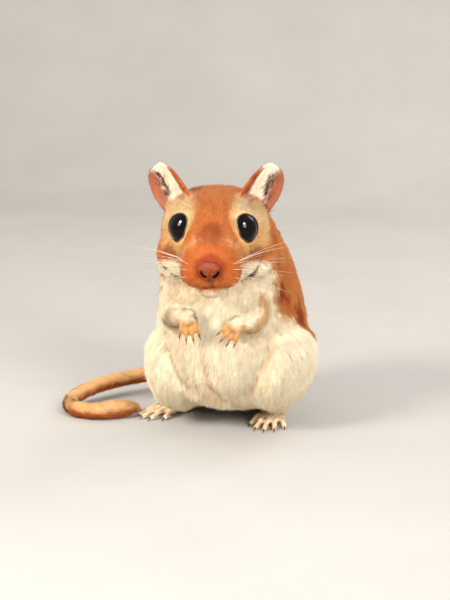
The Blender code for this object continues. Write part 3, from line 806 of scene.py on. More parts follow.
@dataclass(frozen=True)
class Markings:
    """Where each colour of the coat lies, painted shade among them. Skin and coat read the same marks."""

    head: HeadFrame = HeadFrame()
    orange: str = "BC652E"
    ginger: str = "CB8849"
    rust: str = "963F1C"
    tan: str = "D2A468"
    cream: str = "FFEFCC"
    # the cream's darker tone, for random streaks and for painted shade where the skin faces down
    shade: str = "F9D7B0"
    surround: str = "D6B584"
    nose: str = "993F1D"
    bridge: str = "8E401C"
    underside: str = "CE7A40"
    tick: str = "4A2414"
    # painted shade in the grooves between the fingers and toes
    knuckle: str = "8A5430"
    hand: str = "C6955C"
    ear_pale: str = "FFF0D6"
    # dark hair in the ears' strokes, and painted shade along the ears' inner folds and the cheek folds
    ear_hair: str = "4A2416"
    ear_rim: str = "96451A"
    tail_top: str = "F2BE82"
    # painted shade along the mouth's crease and the lip's cleft
    crease: str = "5A2A1A"
    ear_outward: Point = (0.787, 0.532, -0.311)
    ear_root: Point = (8.9, 5.0, 5.4)
    ear_half_width: float = 4.7
    eye_ring: Spot = ((7.8, -2.8, 2.4), (5.8, 9.2, 7.0))  # this and the next six in the head's frame
    under_eye: Spot = ((9.0, -5.0, -1.2), (4.0, 5.0, 3.2))
    cheek_patch: Spot = ((9.6, -5.8, -3.3), (3.2, 3.6, 1.7))
    ear_base: Spot = ((7.0, 2.5, 8.2), (2.6, 2.6, 2.2))
    muzzle_spot: Spot = ((0.0, -15.5, -4.4), (7.2, 7.4, 6.6))
    nose_spot: Spot = ((0.0, -18.0, -3.3), (3.6, 4.0, 3.2))
    bridge_spot: Spot = ((0.0, -14.0, 3.4), (3.0, 4.2, 2.6))
    tail_root: Point = (-4.0, 31.0, 7.0)
    mantle_heights: tuple[float, ...] = (4.0, 12.0, 21.0, 28.0, 34.0, 45.0, 55.0)
    mantle_angles: tuple[float, ...] = (78.0, 50.0, 16.0, -15.0, -36.0, -39.0, -43.0)  # behind the side
    mantle_middles: tuple[float, ...] = (7.0, 7.0, 7.0, 7.0, 7.0, 2.9, -0.5)
    flank_patches: tuple[tuple[Point, Point, float], ...] = (  # centre, radii and strength
        ((12.5, -4.0, 37.8), (3.4, 4.0, 3.6), 1.0),
        ((17.2, 4.6, 29.8), (3.2, 3.4, 5.2), 1.0),
        ((13.0, 15.0, 38.0), (5.0, 5.0, 9.0), 0.35),
        ((6.0, 26.5, 26.0), (6.0, 5.0, 12.0), 0.35),
        ((-9.4, 21.0, 35.5), (4.4, 5.6, 11.0), 0.4),
        ((-15.6, 8.5, 31.5), (3.2, 4.2, 6.2), 0.6),
        ((-6.0, 30.0, 16.0), (6.0, 4.6, 8.0), 0.45),
    )
    arm_edges: tuple[tuple[float, Line], ...] = (  # strength, and each arm's lower edge
        (0.9, ((11.8, -10.0, 36.6), (12.7, -9.6, 33.9), (12.1, -11.3, 30.8),
               (9.9, -14.1, 28.7), (8.2, -16.4, 29.2))),
        (0.5, ((-11.4, -13.4, 31.4), (-8.8, -15.6, 29.6), (-7.1, -17.0, 29.9))),
    )

    def mantle(self, points: Array) -> Array:
        """How far the orange of the back reaches: 1 on the mantle, 0 on the cream."""
        body = body_local(points)
        middle = np.interp(body[:, 2], self.mantle_heights, self.mantle_middles)
        behind = np.degrees(np.arctan2(body[:, 1] - middle, np.abs(body[:, 0] + 0.5)))
        edge = np.interp(body[:, 2], self.mantle_heights, self.mantle_angles)
        ragged = 7.0 * ripple(points, 9.0, 3) + 4.0 * ripple(points, 3.5, 4)
        return ramp(behind - edge + ragged, -5.0, 5.0)

    def patches(self, points: Array) -> Array:
        """The rust patches on the mantle."""
        body = body_local(points)
        total = np.zeros(len(points))
        for centre, radii, strength in self.flank_patches:
            reach = reach_of((centre, radii), body) + 0.25 * ripple(points, 4.0, 6)
            total = np.maximum(total, strength * ramp(reach, 1.25, 0.65))
        return total

    def body_colours(self, points: Array, normals: Array) -> Array:
        """Colours of the neck, the trunk and the legs, with painted shade on the cream where the skin
        faces down.

        Args:
            points: Places in metres.
            normals: The skin's normals there.

        Returns:
            Linear colours, a row for each place.
        """
        streaks = 0.5 + 0.5 * ripple(points * (1.0, 1.0, 0.4), 2.6, 8)
        mantle = self.mantle(points) * ramp(normals[:, 2], -0.85, -0.45)
        # painted shade: the cream turns to its shade colour where the skin faces down, on top of random
        # streaks of that colour
        shaded = 0.25 * streaks + 0.3 * ramp(-normals[:, 2], 0.0, 0.8)
        back = blended(self.orange, self.ginger, 0.15 + 0.7 * streaks)
        back = blended(back, self.rust, self.patches(points))
        edge = 4 * mantle * (1 - mantle)
        colours = blended(self.cream, self.shade, shaded)
        colours = layered(colours, (back, mantle), (self.tan, 0.75 * edge))
        for strength, line in self.arm_edges:
            gap = gap_to(np.array(line), body_local(points)) + 0.4 * ripple(points, 3.0, 9)
            colours = blended(colours, self.tan, strength * ramp(gap, 1.9, 0.7))
        return colours

    def head_colours(self, points: Array) -> Array:
        """Colours of the head: orange crown, nose and muzzle, pale rings round the eyes, cream cheeks.

        Args:
            points: Places in metres.

        Returns:
            Linear colours, a row for each place.
        """
        places = self.mirrored(self.head.local(points))
        side, along, up = places.T
        ragged = 0.5 * ripple(points, 3.0, 11) + 0.25 * ripple(points, 1.2, 12)
        streaks = 0.5 + 0.5 * ripple(points, 1.6, 13)
        ring = reach_of(self.eye_ring, places) + 0.10 * ragged
        pale = blended(self.tan, self.surround, ramp(up + 0.5 * along, -2.0, 4.0))
        under = reach_of(self.under_eye, places)
        jaw_top = -5.2 - 0.28 * np.clip(along + 6.0, -12.0, 12.0) * ramp(along, -9.0, -4.0)
        cheek = ramp(up + 0.9 * ragged, jaw_top + 0.8, jaw_top - 0.8)
        muzzle = reach_of(self.muzzle_spot, places)
        on_muzzle = ramp(muzzle + 0.12 * ragged, 1.12, 0.94)
        rim = bell(muzzle + 0.10 * ragged, 1.08, 0.10) * ramp(up, -9.0, -5.0)
        colours = layered(
            blended(self.orange, self.ginger, 0.5 * streaks),
            (pale, ramp(ring, 1.12, 0.86) * ramp(side, 3.1, 4.5)),
            (self.tan, ramp(under + 0.15 * ragged, 1.2, 0.8)),
            (self.cream, cheek * (1 - on_muzzle)),
            (self.orange, 0.9 * on_muzzle),
            (self.underside, on_muzzle * ramp(up, -4.5, -8.0)),
            (self.surround, 0.6 * rim * streaks),
        )
        patches = (  # spot, colour, strength, raggedness, and the reach at which it starts and is full
            (self.cheek_patch, self.rust, 0.8, 0.18, 1.15, 0.75),
            (self.ear_base, self.rust, 0.6, 0.15, 1.2, 0.7),
            (self.nose_spot, self.nose, 0.9, 0.1, 1.12, 0.85),
            (self.bridge_spot, self.bridge, 0.8, 0.2, 1.25, 0.6),
        )
        for spot, code, strength, rough, start, full in patches:
            share = ramp(reach_of(spot, places) + rough * ragged, start, full)
            colours = blended(colours, code, strength * share)
        lip = ramp(up + 0.35 * ragged, -8.9, -9.7) * on_muzzle
        brow = bell(along, -2.0, 9.0) * ramp(up, 8.0, 10.0) * (0.6 + 0.6 * ragged)
        return layered(colours, (self.cream, lip), (self.tan, 0.4 * np.clip(brow, 0, 1)))

    def ear_colours(self, points: Array, inner: Array) -> Array:
        """Colours of the ears: orange outside and on the outer rim, pale inside, rust on the inner web,
        and a painted shadow line where the pale hollow meets the web.

        Args:
            points: Places in metres.
            inner: 1 on the hollow faces, 0 on the backs.

        Returns:
            Linear colours, a row for each place.
        """
        across = self.ear_side(self.head.local(points)) + 0.05 * ripple(points, 1.5, 14)
        back = blended(self.orange, self.ginger, 0.4 + 0.4 * ripple(points, 2.0, 15))
        inside = blended(self.ear_pale, self.ear_rim, 0.92 * ramp(across, 0.25, 0.58))
        web = blended(self.rust, self.orange, 0.5 + 0.5 * ripple(points, 2.0, 16))
        # painted shade: a thin dark line along the fold where the pale hollow meets the inner web
        line = 0.85 * bell(across, -0.60, 0.07)
        inside = layered(inside, (web, ramp(across, -0.60, -0.72)), (self.ear_hair, line))
        return blended(back, inside, inner)

    def ear_side(self, h: Array) -> Array:
        """How far towards the ear's outer edge places of the head's frame are, from -1 to 1."""
        return (self.mirrored(h) - self.ear_root) @ np.array(self.ear_outward) / self.ear_half_width

    def mirrored(self, h: Array) -> Array:
        """Places of the head's frame, all on the left side."""
        return np.column_stack([np.abs(h[:, 0]), h[:, 1], h[:, 2]])

    def tail_colours(self, points: Array, normals: Array) -> Array:
        """Colours of the tail: tan above and orange below, by the way the skin faces, which is partly the
        tail's own colours and partly painted light and shade; rust at its root.

        Args:
            points: Places in metres.
            normals: The skin's normals there.

        Returns:
            Linear colours, a row for each place.
        """
        body = body_local(points)
        # partly painted light and shade: tan where the skin faces up, orange where it faces down
        above = ramp(normals[:, 2] + 0.2 * ripple(points, 3.0, 17), -0.25, 0.45)
        colours = blended(self.orange, self.tail_top, above)
        root = ramp(np.linalg.norm(body - self.tail_root, axis=1), 16.0, 4.0)
        return blended(colours, self.rust, 0.6 * root)

    def paw_colours(self, points: Array, part: Part) -> Array:
        """Colours of the paws: tan hands, cream feet with a brown heel on the right.

        Args:
            points: Places in metres.
            part: The forepaws or the hind feet.

        Returns:
            Linear colours, a row for each place.
        """
        body = body_local(points)
        if part is Part.FOREPAW:
            pale = 0.35 * (0.5 + 0.5 * ripple(points, 2.0, 19))
            return blended(self.hand, self.tan, pale)
        colours = blended(self.cream, self.tan, 0.3 + 0.3 * ripple(points, 2.4, 20))
        behind = body[:, 0] + 0.35 * body[:, 1] + ripple(points, 3.0, 21)
        heel = ramp(behind, -14.5, -11.5) * (body[:, 0] < 0)
        return blended(colours, self.rust, 0.7 * heel)


@dataclass(frozen=True)
class Pelt:
    """How the hair grows on one part of the body."""

    length: float
    width: float
    lift_degrees: float
    density: float  # tufts to a square millimetre
    clump: float = 0.4  # how much the tips of neighbours draw together


PELTS = {
    Part.HEAD: Pelt(1.6, 0.13, 17.0, 58.0, 0.25),
    Part.NECK: Pelt(3.0, 0.18, 17.0, 36.0),
    Part.TORSO: Pelt(3.2, 0.20, 16.0, 30.0),
    Part.FORELEG: Pelt(1.8, 0.15, 16.0, 42.0),
    Part.HIND_LEG: Pelt(3.0, 0.19, 15.0, 30.0),
    Part.FOREPAW: Pelt(0.35, 0.07, 10.0, 60.0, 0.1),
    Part.HIND_FOOT: Pelt(0.4, 0.08, 10.0, 56.0, 0.1),
    Part.EAR: Pelt(0.9, 0.08, 9.0, 44.0, 0.1),
    Part.TAIL: Pelt(1.9, 0.15, 18.0, 36.0, 0.3),
}
COATS = {  # the pieces of the coat with their parts of the body, the first of which gives the pelt
    **{"coat_" + area: (Part.HEAD,) for area in ("muzzle", "crown", "cheeks")},
    "coat_neck": (Part.NECK,),
    **{"coat_" + area: (Part.TORSO,) for area in ("chest", "back_left", "back_right")},
    "coat_hind_legs": (Part.HIND_LEG,),
    "coat_forelegs": (Part.FORELEG,),
    "coat_paws": (Part.FOREPAW, Part.HIND_FOOT),
    "coat_ears": (Part.EAR,),
    "coat_tail": (Part.TAIL,),
}


@dataclass
class Paw:
    """The flesh of a hand or a foot, with its digits and their claws, set where the part has it."""

    place: Matrix
    core: list[Mesh]
    digits: tuple[tuple[float, float, float, float], ...]  # root and tip across, root and tip along
    heights: tuple[float, float, float]
    radii: tuple[float, float, float]
    claw_length: float
    claw_radius: float
    claw_rise: Point = (0.0, 0.0, 0.12)
    floor_gap: float = 0.05

    def digit_line(self, digit: tuple[float, float, float, float]) -> Array:
        """A digit's smooth line from its root over the knuckle to its tip, with the radius."""
        x0, x1, y0, y1 = digit
        root, knuckle, tip = self.heights
        stages = ((0.45, knuckle, self.radii[1]), (0.78, (knuckle + 2 * tip) / 3, self.radii[1] * 0.86))
        rows = [(x0, y0, root, self.radii[0])]
        rows += [(x0 + t * (x1 - x0), y0 + t * (y1 - y0), height, radius) for t, height, radius in stages]
        rows.append((x1, y1, tip, self.radii[2]))
        return smooth_line(np.array(rows), 4)

    def placed(self, pieces: list[Mesh]) -> Mesh:
        """Meshes in the paw's own millimetres, as one mesh in the frame's metres."""
        points, triangles = joined(pieces)
        return moved(points * MM, self.place), triangles

    def flesh(self) -> Mesh:
        """Points in metres and triangles of the paw without its claws."""
        lines = [self.digit_line(digit) for digit in self.digits]
        return self.placed([*self.core, *(swept(line[:, :3], line[:, 3], 12) for line in lines)])

    def claws(self) -> Mesh:
        """Points in metres and triangles of the paw's claws, each a curved cone sunk in its toe."""
        pieces = []
        steps = np.linspace(-0.2, 1.0, 8)
        beyond = np.maximum(steps, 0)
        for digit in self.digits:
            line = self.digit_line(digit)
            tip, way = line[-1, :3], unit(line[-1, :3] - line[-4, :3])
            drop = np.array((0.0, 0.0, -0.42)) * self.claw_length
            straight = tip + self.claw_rise + way * self.claw_length * steps[:, None]
            curve = straight + drop * beyond[:, None] ** 2
            pieces.append(swept(curve, self.claw_radius * (1.04 - beyond**0.8), 8, 1.25))
        points, triangles = self.placed(pieces)
        keep_above(points, self.floor_gap)
        return points, triangles


def hind_foot(side: Side) -> Paw:
    """A hind foot: a long sole with a pad at the heel and the ball, and five toes.

    Args:
        side: Which foot.

    Returns:
        The foot, on the floor.
    """
    heel, out = {Side.LEFT: ((9.3, 22.0, -0.25), 1.0), Side.RIGHT: ((-9.8, 20.5, -0.25), -36.0)}[side]
    spot = Matrix.Translation(body_place(heel))
    sole = np.array([(0, 0.6, 2.5, 2.3), (0, -5, 2.3, 2.3), (0, -11, 2.1, 2.4), (0, -15.2, 1.8, 2.4)])
    line = smooth_line(sole, 4)
    points, faces = swept(line[:, :3], line[:, 3], 20)
    pad_spots = ((-2.0, -14.6), (-0.2, -15.8), (1.8, -14.8), (0.9, -11.6))
    pads = [blob((x, y, 0.95), (1.2, 1.3, 0.75), 2) for x, y in pad_spots]
    return Paw(
        place=spot @ Matrix.Rotation(math.radians(out), 4, "Z"),
        core=[(points * (1.16, 1.0, 1.0), faces), *pads],
        digits=(
            (-2.4, -4.3, -13.4, -18.0),
            (-1.3, -2.35, -15.0, -21.1),
            (0.0, 0.0, -15.4, -22.0),
            (1.3, 2.35, -15.0, -21.2),
            (2.4, 4.3, -13.4, -18.5),
        ),
        heights=(1.7, 2.05, 0.95),
        radii=(1.05, 0.86, 0.74),
        claw_length=1.8,
        claw_radius=0.30,
    )


def forepaw(side: Side) -> Paw:
    """A hand that hangs from its wrist, with four fingers.

    Args:
        side: Which hand.

    Returns:
        The hand, at the chest.
    """
    wrist, way = {
        Side.LEFT: ((7.2, -16.2, 31.6), (-0.52, -0.20, -0.83)),
        Side.RIGHT: ((-4.8, -17.0, 32.8), (0.10, -0.22, -0.97)),
    }[side]
    along = -Vector(way).normalized()
    across = along.cross(Vector((0.15, -1.0, 0.10))).normalized()
    turn = Matrix((across, along, across.cross(along))).transposed().to_4x4()
    wrist_line = smooth_line(np.array([(0, 0.1, 0, 1.7), (0, -1.0, 0, 1.6), (0, -2.0, 0, 1.6)]), 4)
    return Paw(
        place=Matrix.Translation(body_place(wrist)) @ turn,
        core=[blob((0.0, -1.9, -0.1), (2.2, 2.0, 1.2)), swept(wrist_line[:, :3], wrist_line[:, 3], 14)],
        digits=(
            (-1.5, -2.35, -1.9, -5.2),
            (-0.55, -0.85, -2.4, -6.1),
            (0.55, 0.85, -2.4, -6.1),
            (1.5, 2.35, -1.9, -5.3),
        ),
        heights=(0.3, 0.75, -0.35),
        radii=(0.66, 0.56, 0.46),
        claw_length=1.35,
        claw_radius=0.20,
    )


@dataclass
class Eye:
    """One eye: the ball where the part has it, and the dark rim of its lids."""

    side: Side
    head: HeadFrame
    outward_degrees: float = 46.0
    upward_degrees: float = 11.0
    opening_degrees: float = 44.0
    height_degrees: float = 16.5
    corner_degrees: float = 5.0
    tilt_degrees: float = 34.0
    rim_radius: float = 0.24
    rim_gap: float = 0.12  # how far the rim's middle stands over the ball
    rim_points: int = 72
    rim_sides: int = 10
    centre: Array = field(init=False)
    radius: float = field(init=False)

    def __post_init__(self) -> None:
        """Reads the ball's place and size from its node."""
        low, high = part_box("eye_" + self.side.word)
        self.centre = np.array((low + high) / 2)
        self.radius = max(high - low) / 2

    def axes(self) -> Array:
        """The way the eye looks, the way to its front corner and the way over it, as rows."""
        out, rise = math.radians(self.outward_degrees), math.radians(self.upward_degrees)
        look = (math.sin(out) * math.cos(rise), -math.cos(out) * math.cos(rise), math.sin(rise))
        look = unit(self.head.way(self.side.turned(look)))
        lean = math.radians(self.tilt_degrees)
        corner = self.head.way(self.side.turned((-0.6, -math.cos(lean), -math.sin(lean))))
        corner = unit(corner - look * (corner @ look))
        over = np.cross(look, corner) * -self.side.value
        return np.array((look, corner, over))

    def opening(self, turn: Array) -> Array:
        """The lids' angle from the eye's axis, for turns from the front corner, in radians."""
        almond = self.opening_degrees + self.height_degrees * np.sin(turn) ** 2
        corner = bell(np.angle(np.exp(1j * turn)), 0.0, 0.34)
        back = 0.5 * bell(np.angle(-np.exp(1j * turn)), 0.0, 0.40)
        return np.radians(almond + self.corner_degrees * (corner + back))

    def polar(self, points: Array) -> tuple[Array, Array, Array]:
        """Finds places round the ball.

        Args:
            points: Places in metres.

        Returns:
            Each place's distance from the ball's centre, its angle from the eye's axis, and the lids'
            angle there.
        """
        look, corner, over = self.axes()
        away = points - self.centre
        reach = np.linalg.norm(away, axis=1)
        angle = np.arccos(np.clip(away @ look / np.maximum(reach, 1e-9), -1, 1))
        turn = np.arctan2(away @ over, away @ corner)
        return reach, angle, self.opening(turn)

    def build(self) -> list[Object]:
        """Makes the ball and the lids' rim.

        Returns:
            The two objects.
        """
        look, corner, over = self.axes()
        points, faces = blob((0.0, 0.0, 0.0), (1.0, 1.0, 1.0), 5)
        bulge = 1 + 0.025 * bell(np.arccos(np.clip(points @ look, -1, 1)), 0.0, 0.7)
        places = self.centre + points * self.radius * bulge[:, None]
        ball = mesh_of("eyeball_" + self.side.word, places, faces)
        turn = np.linspace(0, 2 * math.pi, self.rim_points + 1)[:-1]
        angle = self.opening(turn)[:, None]
        spoke = np.cos(turn)[:, None] * corner + np.sin(turn)[:, None] * over
        ways = np.cos(angle) * look + np.sin(angle) * spoke
        line = self.centre + (self.radius + self.rim_gap * MM) * ways
        rim = self.ring("lids_" + self.side.word, line)
        return [ball, rim]

    def ring(self, name: str, line: Array) -> Object:
        """Makes a closed rim, thicker at the eye's two corners.

        Args:
            name: The object's name.
            line: The line that it follows round the eye, in metres.

        Returns:
            The object.
        """
        sides, count = self.rim_sides, len(line)
        way = unit(np.roll(line, -1, axis=0) - np.roll(line, 1, axis=0))
        out = unit(line - self.centre)
        across = np.cross(way, out)
        thick = self.rim_radius * MM * (1 + 0.25 * np.cos(2 * np.linspace(0, 2 * math.pi, count)))
        turn = np.arange(sides) * 2 * math.pi / sides
        wide, high = np.cos(turn)[None, :, None], 0.8 * np.sin(turn)[None, :, None]
        rings = line[:, None] + thick[:, None, None] * (wide * across[:, None] + high * out[:, None])
        k, j = np.meshgrid(np.arange(count), np.arange(sides), indexing="ij")
        after, beside = (k + 1) % count, (j + 1) % sides
        corners = ((k, j), (k, beside), (after, beside), (after, j))
        faces = np.stack([row * sides + column for row, column in corners], axis=-1)
        return outward(mesh_of(name, rings.reshape(-1, 3), faces.reshape(-1, 4)))


@dataclass
class NosePad:
    """The bare pad at the tip of the nose, with a comma for each nostril and a cleft between them.

    It follows the skin that it lies on. Places on it are given across and up, in the head's frame.
    """

    head: HeadFrame
    middle_up: float = -3.9
    half_width: float = 2.75
    half_height: float = 2.35
    proud: float = 0.5  # how far its middle stands over the skin
    sunk: float = 0.4  # how far its edge lies under the skin
    thick: float = 1.6
    seat_depth: float = 1.7
    seat_radius: float = 2.1
    nostril: tuple[tuple[float, float], ...] = ((1.0, -5.15), (1.35, -4.95), (1.75, -4.5), (1.95, -4.05))
    nostril_depth: float = 0.85
    nostril_rim: float = 0.14
    cleft: tuple[tuple[float, float], ...] = ((0.0, -4.7), (0.0, -6.4))
    cleft_depth: float = 0.42
    probe_start: float = 40.0  # how far before the head the rays start that find the skin
    curve: Array = field(init=False)

    def terms(self, across: Array, up: Array) -> Array:
        """Works out the terms of the skin's curve.

        Args:
            across: Places across the head.
            up: The same places' heights in the head's frame.

        Returns:
            A row of terms for each place.
        """
        high = up - self.middle_up
        even = np.ones_like(across)
        return np.column_stack([even, across**2, high, high**2, across**2 * high, across**4])

    def rest_on(self, tree: BVHTree) -> None:
        """Fits a curve to the skin round the pad.

        Args:
            tree: The skin, before it is hollowed under the pad.
        """
        spots, depths = [], []
        way = Vector(self.head.way((0.0, 1.0, 0.0)))
        for across in np.linspace(-3.4, 3.4, 13):
            for up in np.linspace(self.middle_up - 2.8, self.middle_up + 3.0, 13):
                met = tree.ray_cast(Vector(self.head.place((across, -self.probe_start, up))), way)[0]
                spots.append((across, up))
                depths.append(self.head.local(np.array([met]))[0, 1])
        across, up = np.array(spots).T
        self.curve = np.linalg.lstsq(self.terms(across, up), np.array(depths), rcond=None)[0]

    def middle(self) -> Array:
        """The spot of skin under the pad's middle, in metres."""
        depth = self.terms(np.zeros(1), np.full(1, self.middle_up)) @ self.curve
        return self.head.place((0.0, depth[0], self.middle_up))

    def reach(self, h: Array) -> Array:
        """How far places of the head's frame are from the pad's middle, 1 at its edge."""
        away = np.hypot(h[:, 0] / self.half_width, (h[:, 2] - self.middle_up) / self.half_height)
        return np.where(h[:, 1] < -13.0, away, 9.0)

    def build(self) -> Object:
        """Makes the pad.

        Returns:
            The pad, with the hollow of its nostrils painted in.
        """
        ball, faces = blob((0.0, 0.0, 0.0), (1.0, 1.0, 1.0), 6)
        square = np.sign(ball) * np.abs(ball) ** 0.88
        up = self.middle_up + self.half_height * square[:, 2]
        across = self.half_width * square[:, 0] * (1 - 0.11 * np.clip(self.middle_up - up, 0, 3))
        ahead = -np.clip(-ball[:, 1], 0, 1) ** 0.7 * (self.proud + self.sunk)
        behind = self.thick * np.clip(ball[:, 1], 0, 1)
        depth = self.terms(across, up) @ self.curve + self.sunk + ahead + behind
        spots = np.column_stack([across, up])
        pull = np.zeros(len(ball))
        for side in Side:
            line = smooth_line(np.array(self.nostril) * (side.value, 1.0), 6)
            gap = gap_to(line, spots)
            narrow = 0.44 - 0.18 * np.clip(np.abs(across) - 1.0, 0, 1)
            pull += self.nostril_depth * bell(gap, 0.0, narrow) - self.nostril_rim * bell(gap, 0.85, 0.3)
        pull += self.cleft_depth * bell(gap_to(np.array(self.cleft), spots), 0.0, 0.20)
        pull *= ramp(-ball[:, 1], 0.0, 0.35)
        pad = mesh_of("nose", self.head.place(np.column_stack([across, depth + pull, up])), faces)
        # painted shade: how dark each point of the nostrils is
        hollow = ramp(pull, 0.22, 0.55)
        paint(pad, NOSTRIL_SHADE, np.repeat(hollow[:, None], 3, axis=1))
        return pad


@dataclass
class Whiskers:
    """Fine whiskers in rows on both sides of the muzzle, with a few over each eye."""

    head: HeadFrame
    rows: int = 4
    columns: int = 5
    longest: float = 15.0
    root_radius: float = 0.055
    tip_radius: float = 0.012
    seed: int = 41
    brow_count: int = 3
    curl: Point = (0.0, 0.34, -0.20)  # how far a tip bends, as shares of the length
    sunk: float = 0.4  # how deep the roots are

    def line(self, root: Array, way: Array, length: float) -> Array:
        """Draws a whisker out along its way, bending back and down.

        Args:
            root: Its root in the head's frame.
            way: The way it starts out.
            length: Its length.

        Returns:
            The points of its line.
        """
        t = np.linspace(0, 1, 12)[:, None]
        bend = np.array(self.curl) * length
        return root + way * length * t + bend * t**2

    def roots(self, rng: Draw) -> list[tuple[Point, Point, float]]:
        """The root, way and length of each whisker of the left side, in the head's frame."""
        found = []
        for row in range(self.rows):
            for column in range(self.columns):
                root = (4.6 + 0.35 * column, -16.2 + 1.35 * column, -2.9 - 1.25 * row)
                share = 0.42 + 0.58 * column / (self.columns - 1)
                length = self.longest * share * rng.uniform(0.85, 1.0)
                found.append((root, (1.0, -0.10 + 0.10 * column, 0.34 - 0.22 * row), length))
        for k in range(self.brow_count):
            found.append(((5.2 + 0.9 * k, -5.6 + 0.8 * k, 7.6), (0.75, -0.25, 0.9), 5.0 + 0.9 * k))
        return found

    def build(self, surface: BVHTree) -> Object:
        """Makes all the whiskers.

        Args:
            surface: The skin, which they are rooted in.

        Returns:
            The whiskers as one object.
        """
        rng = np.random.default_rng(self.seed)
        pieces = []
        for side in Side:
            for root, way, length in self.roots(rng):
                start = self.head.place(side.turned(root))
                foot = surface.find_nearest(Vector(start))[0]
                spot = self.head.local(np.array([foot]))[0]
                way = unit(np.array(side.turned(way)) + rng.normal(0, 0.05, 3))
                line = self.line(spot - way * self.sunk, way, length)
                radii = np.linspace(self.root_radius, self.tip_radius, len(line))
                points, faces = swept(line, radii, 5)
                pieces.append((self.head.place(points), faces))
        return mesh_of("whiskers", *joined(pieces))


@dataclass
class Skin:
    """The one skin of the animal, from the part's own nodes of flesh and finer paws."""

    head: HeadFrame
    marks: Markings
    eyes: list[Eye]
    nose: NosePad
    paws: dict[str, Paw]
    voxel: float = 0.30
    bridge: float = 0.36  # how far the nodes swell to close the gaps between them
    streak_tint: Point = (0.045, 0.075, 0.10)
    most_triangles: int = 190_000
    body_passes: int = 60
    face_passes: int = 9
    thin_depth: float = 0.10  # how far the skin lies inside the paws and the ears
    floor_gap: float = 0.04
    quick_voxels: float = 1.7
    quick_passes: float = 0.35
    lid_height: float = 0.16
    lid_swell: float = 0.42  # how much higher the lid is where it is highest
    lid_least: float = 0.12  # the least that the skin round an eye stands over the ball
    ball_sink: float = 0.7  # how far the skin lies under the ball's face
    crease_press: tuple[float, float] = (0.5, 0.8)  # half width and depth, as of the next
    cheek_press: tuple[float, float] = (0.8, 0.9)
    streak_seed: int = 51
    # painted shade: the skin is a darker, warmer copy of the markings, for the depth of the coat between
    # the tufts
    skin_gap_shade: Point = (0.95, 0.88, 0.82)
    ear_facing: Point = (0.58, -0.80, 0.10)  # the way the left ear's hollow faces
    mouth: Line = (
        (-5.6, -8.4, -8.6), (-4.4, -12.2, -9.0), (-2.4, -15.4, -9.0), (0.0, -16.8, -8.5),
        (2.4, -15.4, -9.0), (4.4, -12.2, -9.0), (5.6, -8.4, -8.6),
    )
    lip_cleft: Line = ((0.0, -19.0, -5.6), (0.0, -18.4, -7.0), (0.0, -17.0, -8.4))
    cheek_folds: tuple[Line, ...] = (
        ((6.0, -2.6, -10.4), (7.8, -3.6, -9.2), (9.4, -3.9, -7.3), (11.2, -3.0, -5.4),
         (12.3, -1.7, -3.8)),
        ((-6.8, -3.2, -10.3), (-8.6, -3.8, -9.6), (-10.0, -3.8, -8.7), (-11.2, -3.2, -7.6),
         (-12.2, -2.2, -6.4)),
    )
    body_folds: tuple[tuple[Line, float, float], ...] = (  # line, half width and depth
        (((-12.2, -9.3, 22.0), (-9.8, -10.8, 16.8), (-7.0, -11.2, 12.6), (-2.6, -10.6, 9.4),
          (2.0, -9.0, 8.4)), 1.5, 1.1),
        (((14.5, -6.0, 27.0), (11.0, -9.5, 18.5), (7.4, -9.5, 11.0)), 2.2, 1.0),
        (((-3.0, -14.5, 25.5), (-2.2, -14.0, 19.0), (-1.0, -12.5, 14.0), (0.6, -10.5, 10.2)), 1.1, 0.7),
    )
    surface: Surface = field(init=False)
    names: list[str] = field(init=False)
    labels: Array = field(init=False)  # which of the names each point belongs to
    length: Array = field(init=False)
    width: Array = field(init=False)
    lift: Array = field(init=False)
    creases: list[Array] = field(init=False, default_factory=list)
    cheek_lines: list[Array] = field(init=False, default_factory=list)
    fold_lines: list[Array] = field(init=False, default_factory=list)

    def flesh_nodes(self) -> list[str]:
        """The names of the nodes that the skin stands for."""
        return sorted(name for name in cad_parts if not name.startswith("eye_"))

    def swollen(self, name: str) -> Mesh:
        """A node's mesh, grown a little unless it is thin."""
        points, triangles = welded(*arrays_of(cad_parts[name].data))
        grown = 0.0 if Part.of_node(name) is Part.EAR else self.bridge
        return points + Surface(points, triangles).normals() * grown * MM, triangles

    def remeshed(self) -> Surface:
        """All the flesh as one even surface, the largest closed one."""
        pieces = [self.swollen(n) for n in self.flesh_nodes() if n not in self.paws]
        pieces += [paw.flesh() for paw in self.paws.values()]
        for eye in self.eyes:
            pieces.append(blob(tuple(eye.centre), (eye.radius,) * 3, 4))
        obj = mesh_of("flesh", *joined(pieces))
        remesh = obj.modifiers.new("remesh", "REMESH")
        remesh.mode = "VOXEL"
        remesh.voxel_size = self.voxel * MM * 1.0
        settle(obj)
        points, triangles = arrays_of(obj.data)
        bpy.data.objects.remove(obj)
        return largest(points, triangles)

    def label(self) -> None:
        """Finds the part that each point of the skin belongs to."""
        names = [n for n in self.flesh_nodes() if n not in self.paws]
        pieces = [arrays_of(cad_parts[n].data) for n in names]
        pieces += [paw.flesh() for paw in self.paws.values()]
        names += list(self.paws)
        owners = np.repeat(np.arange(len(names)), [len(faces) for _, faces in pieces])
        points, faces = joined(pieces)
        tree = BVHTree.FromPolygons(points.tolist(), faces.tolist())
        nearest = [tree.find_nearest(p)[2] for p in self.surface.points.tolist()]
        self.names = names
        self.labels = owners[np.array(nearest)]

    def where(self, *parts: Part) -> Array:
        """Which points belong to any of these parts."""
        chosen = [k for k, name in enumerate(self.names) if Part.of_node(name) in parts]
        return np.isin(self.labels, chosen)

    def on(self, name: str) -> Array:
        """Which points belong to a node."""
        return self.labels == self.names.index(name)

    def share(self, passes: int, *parts: Part) -> Array:
        """How far each point belongs to any of these parts, from 0 to 1 over their edges."""
        return self.surface.smoothed(self.where(*parts).astype(float), passes)

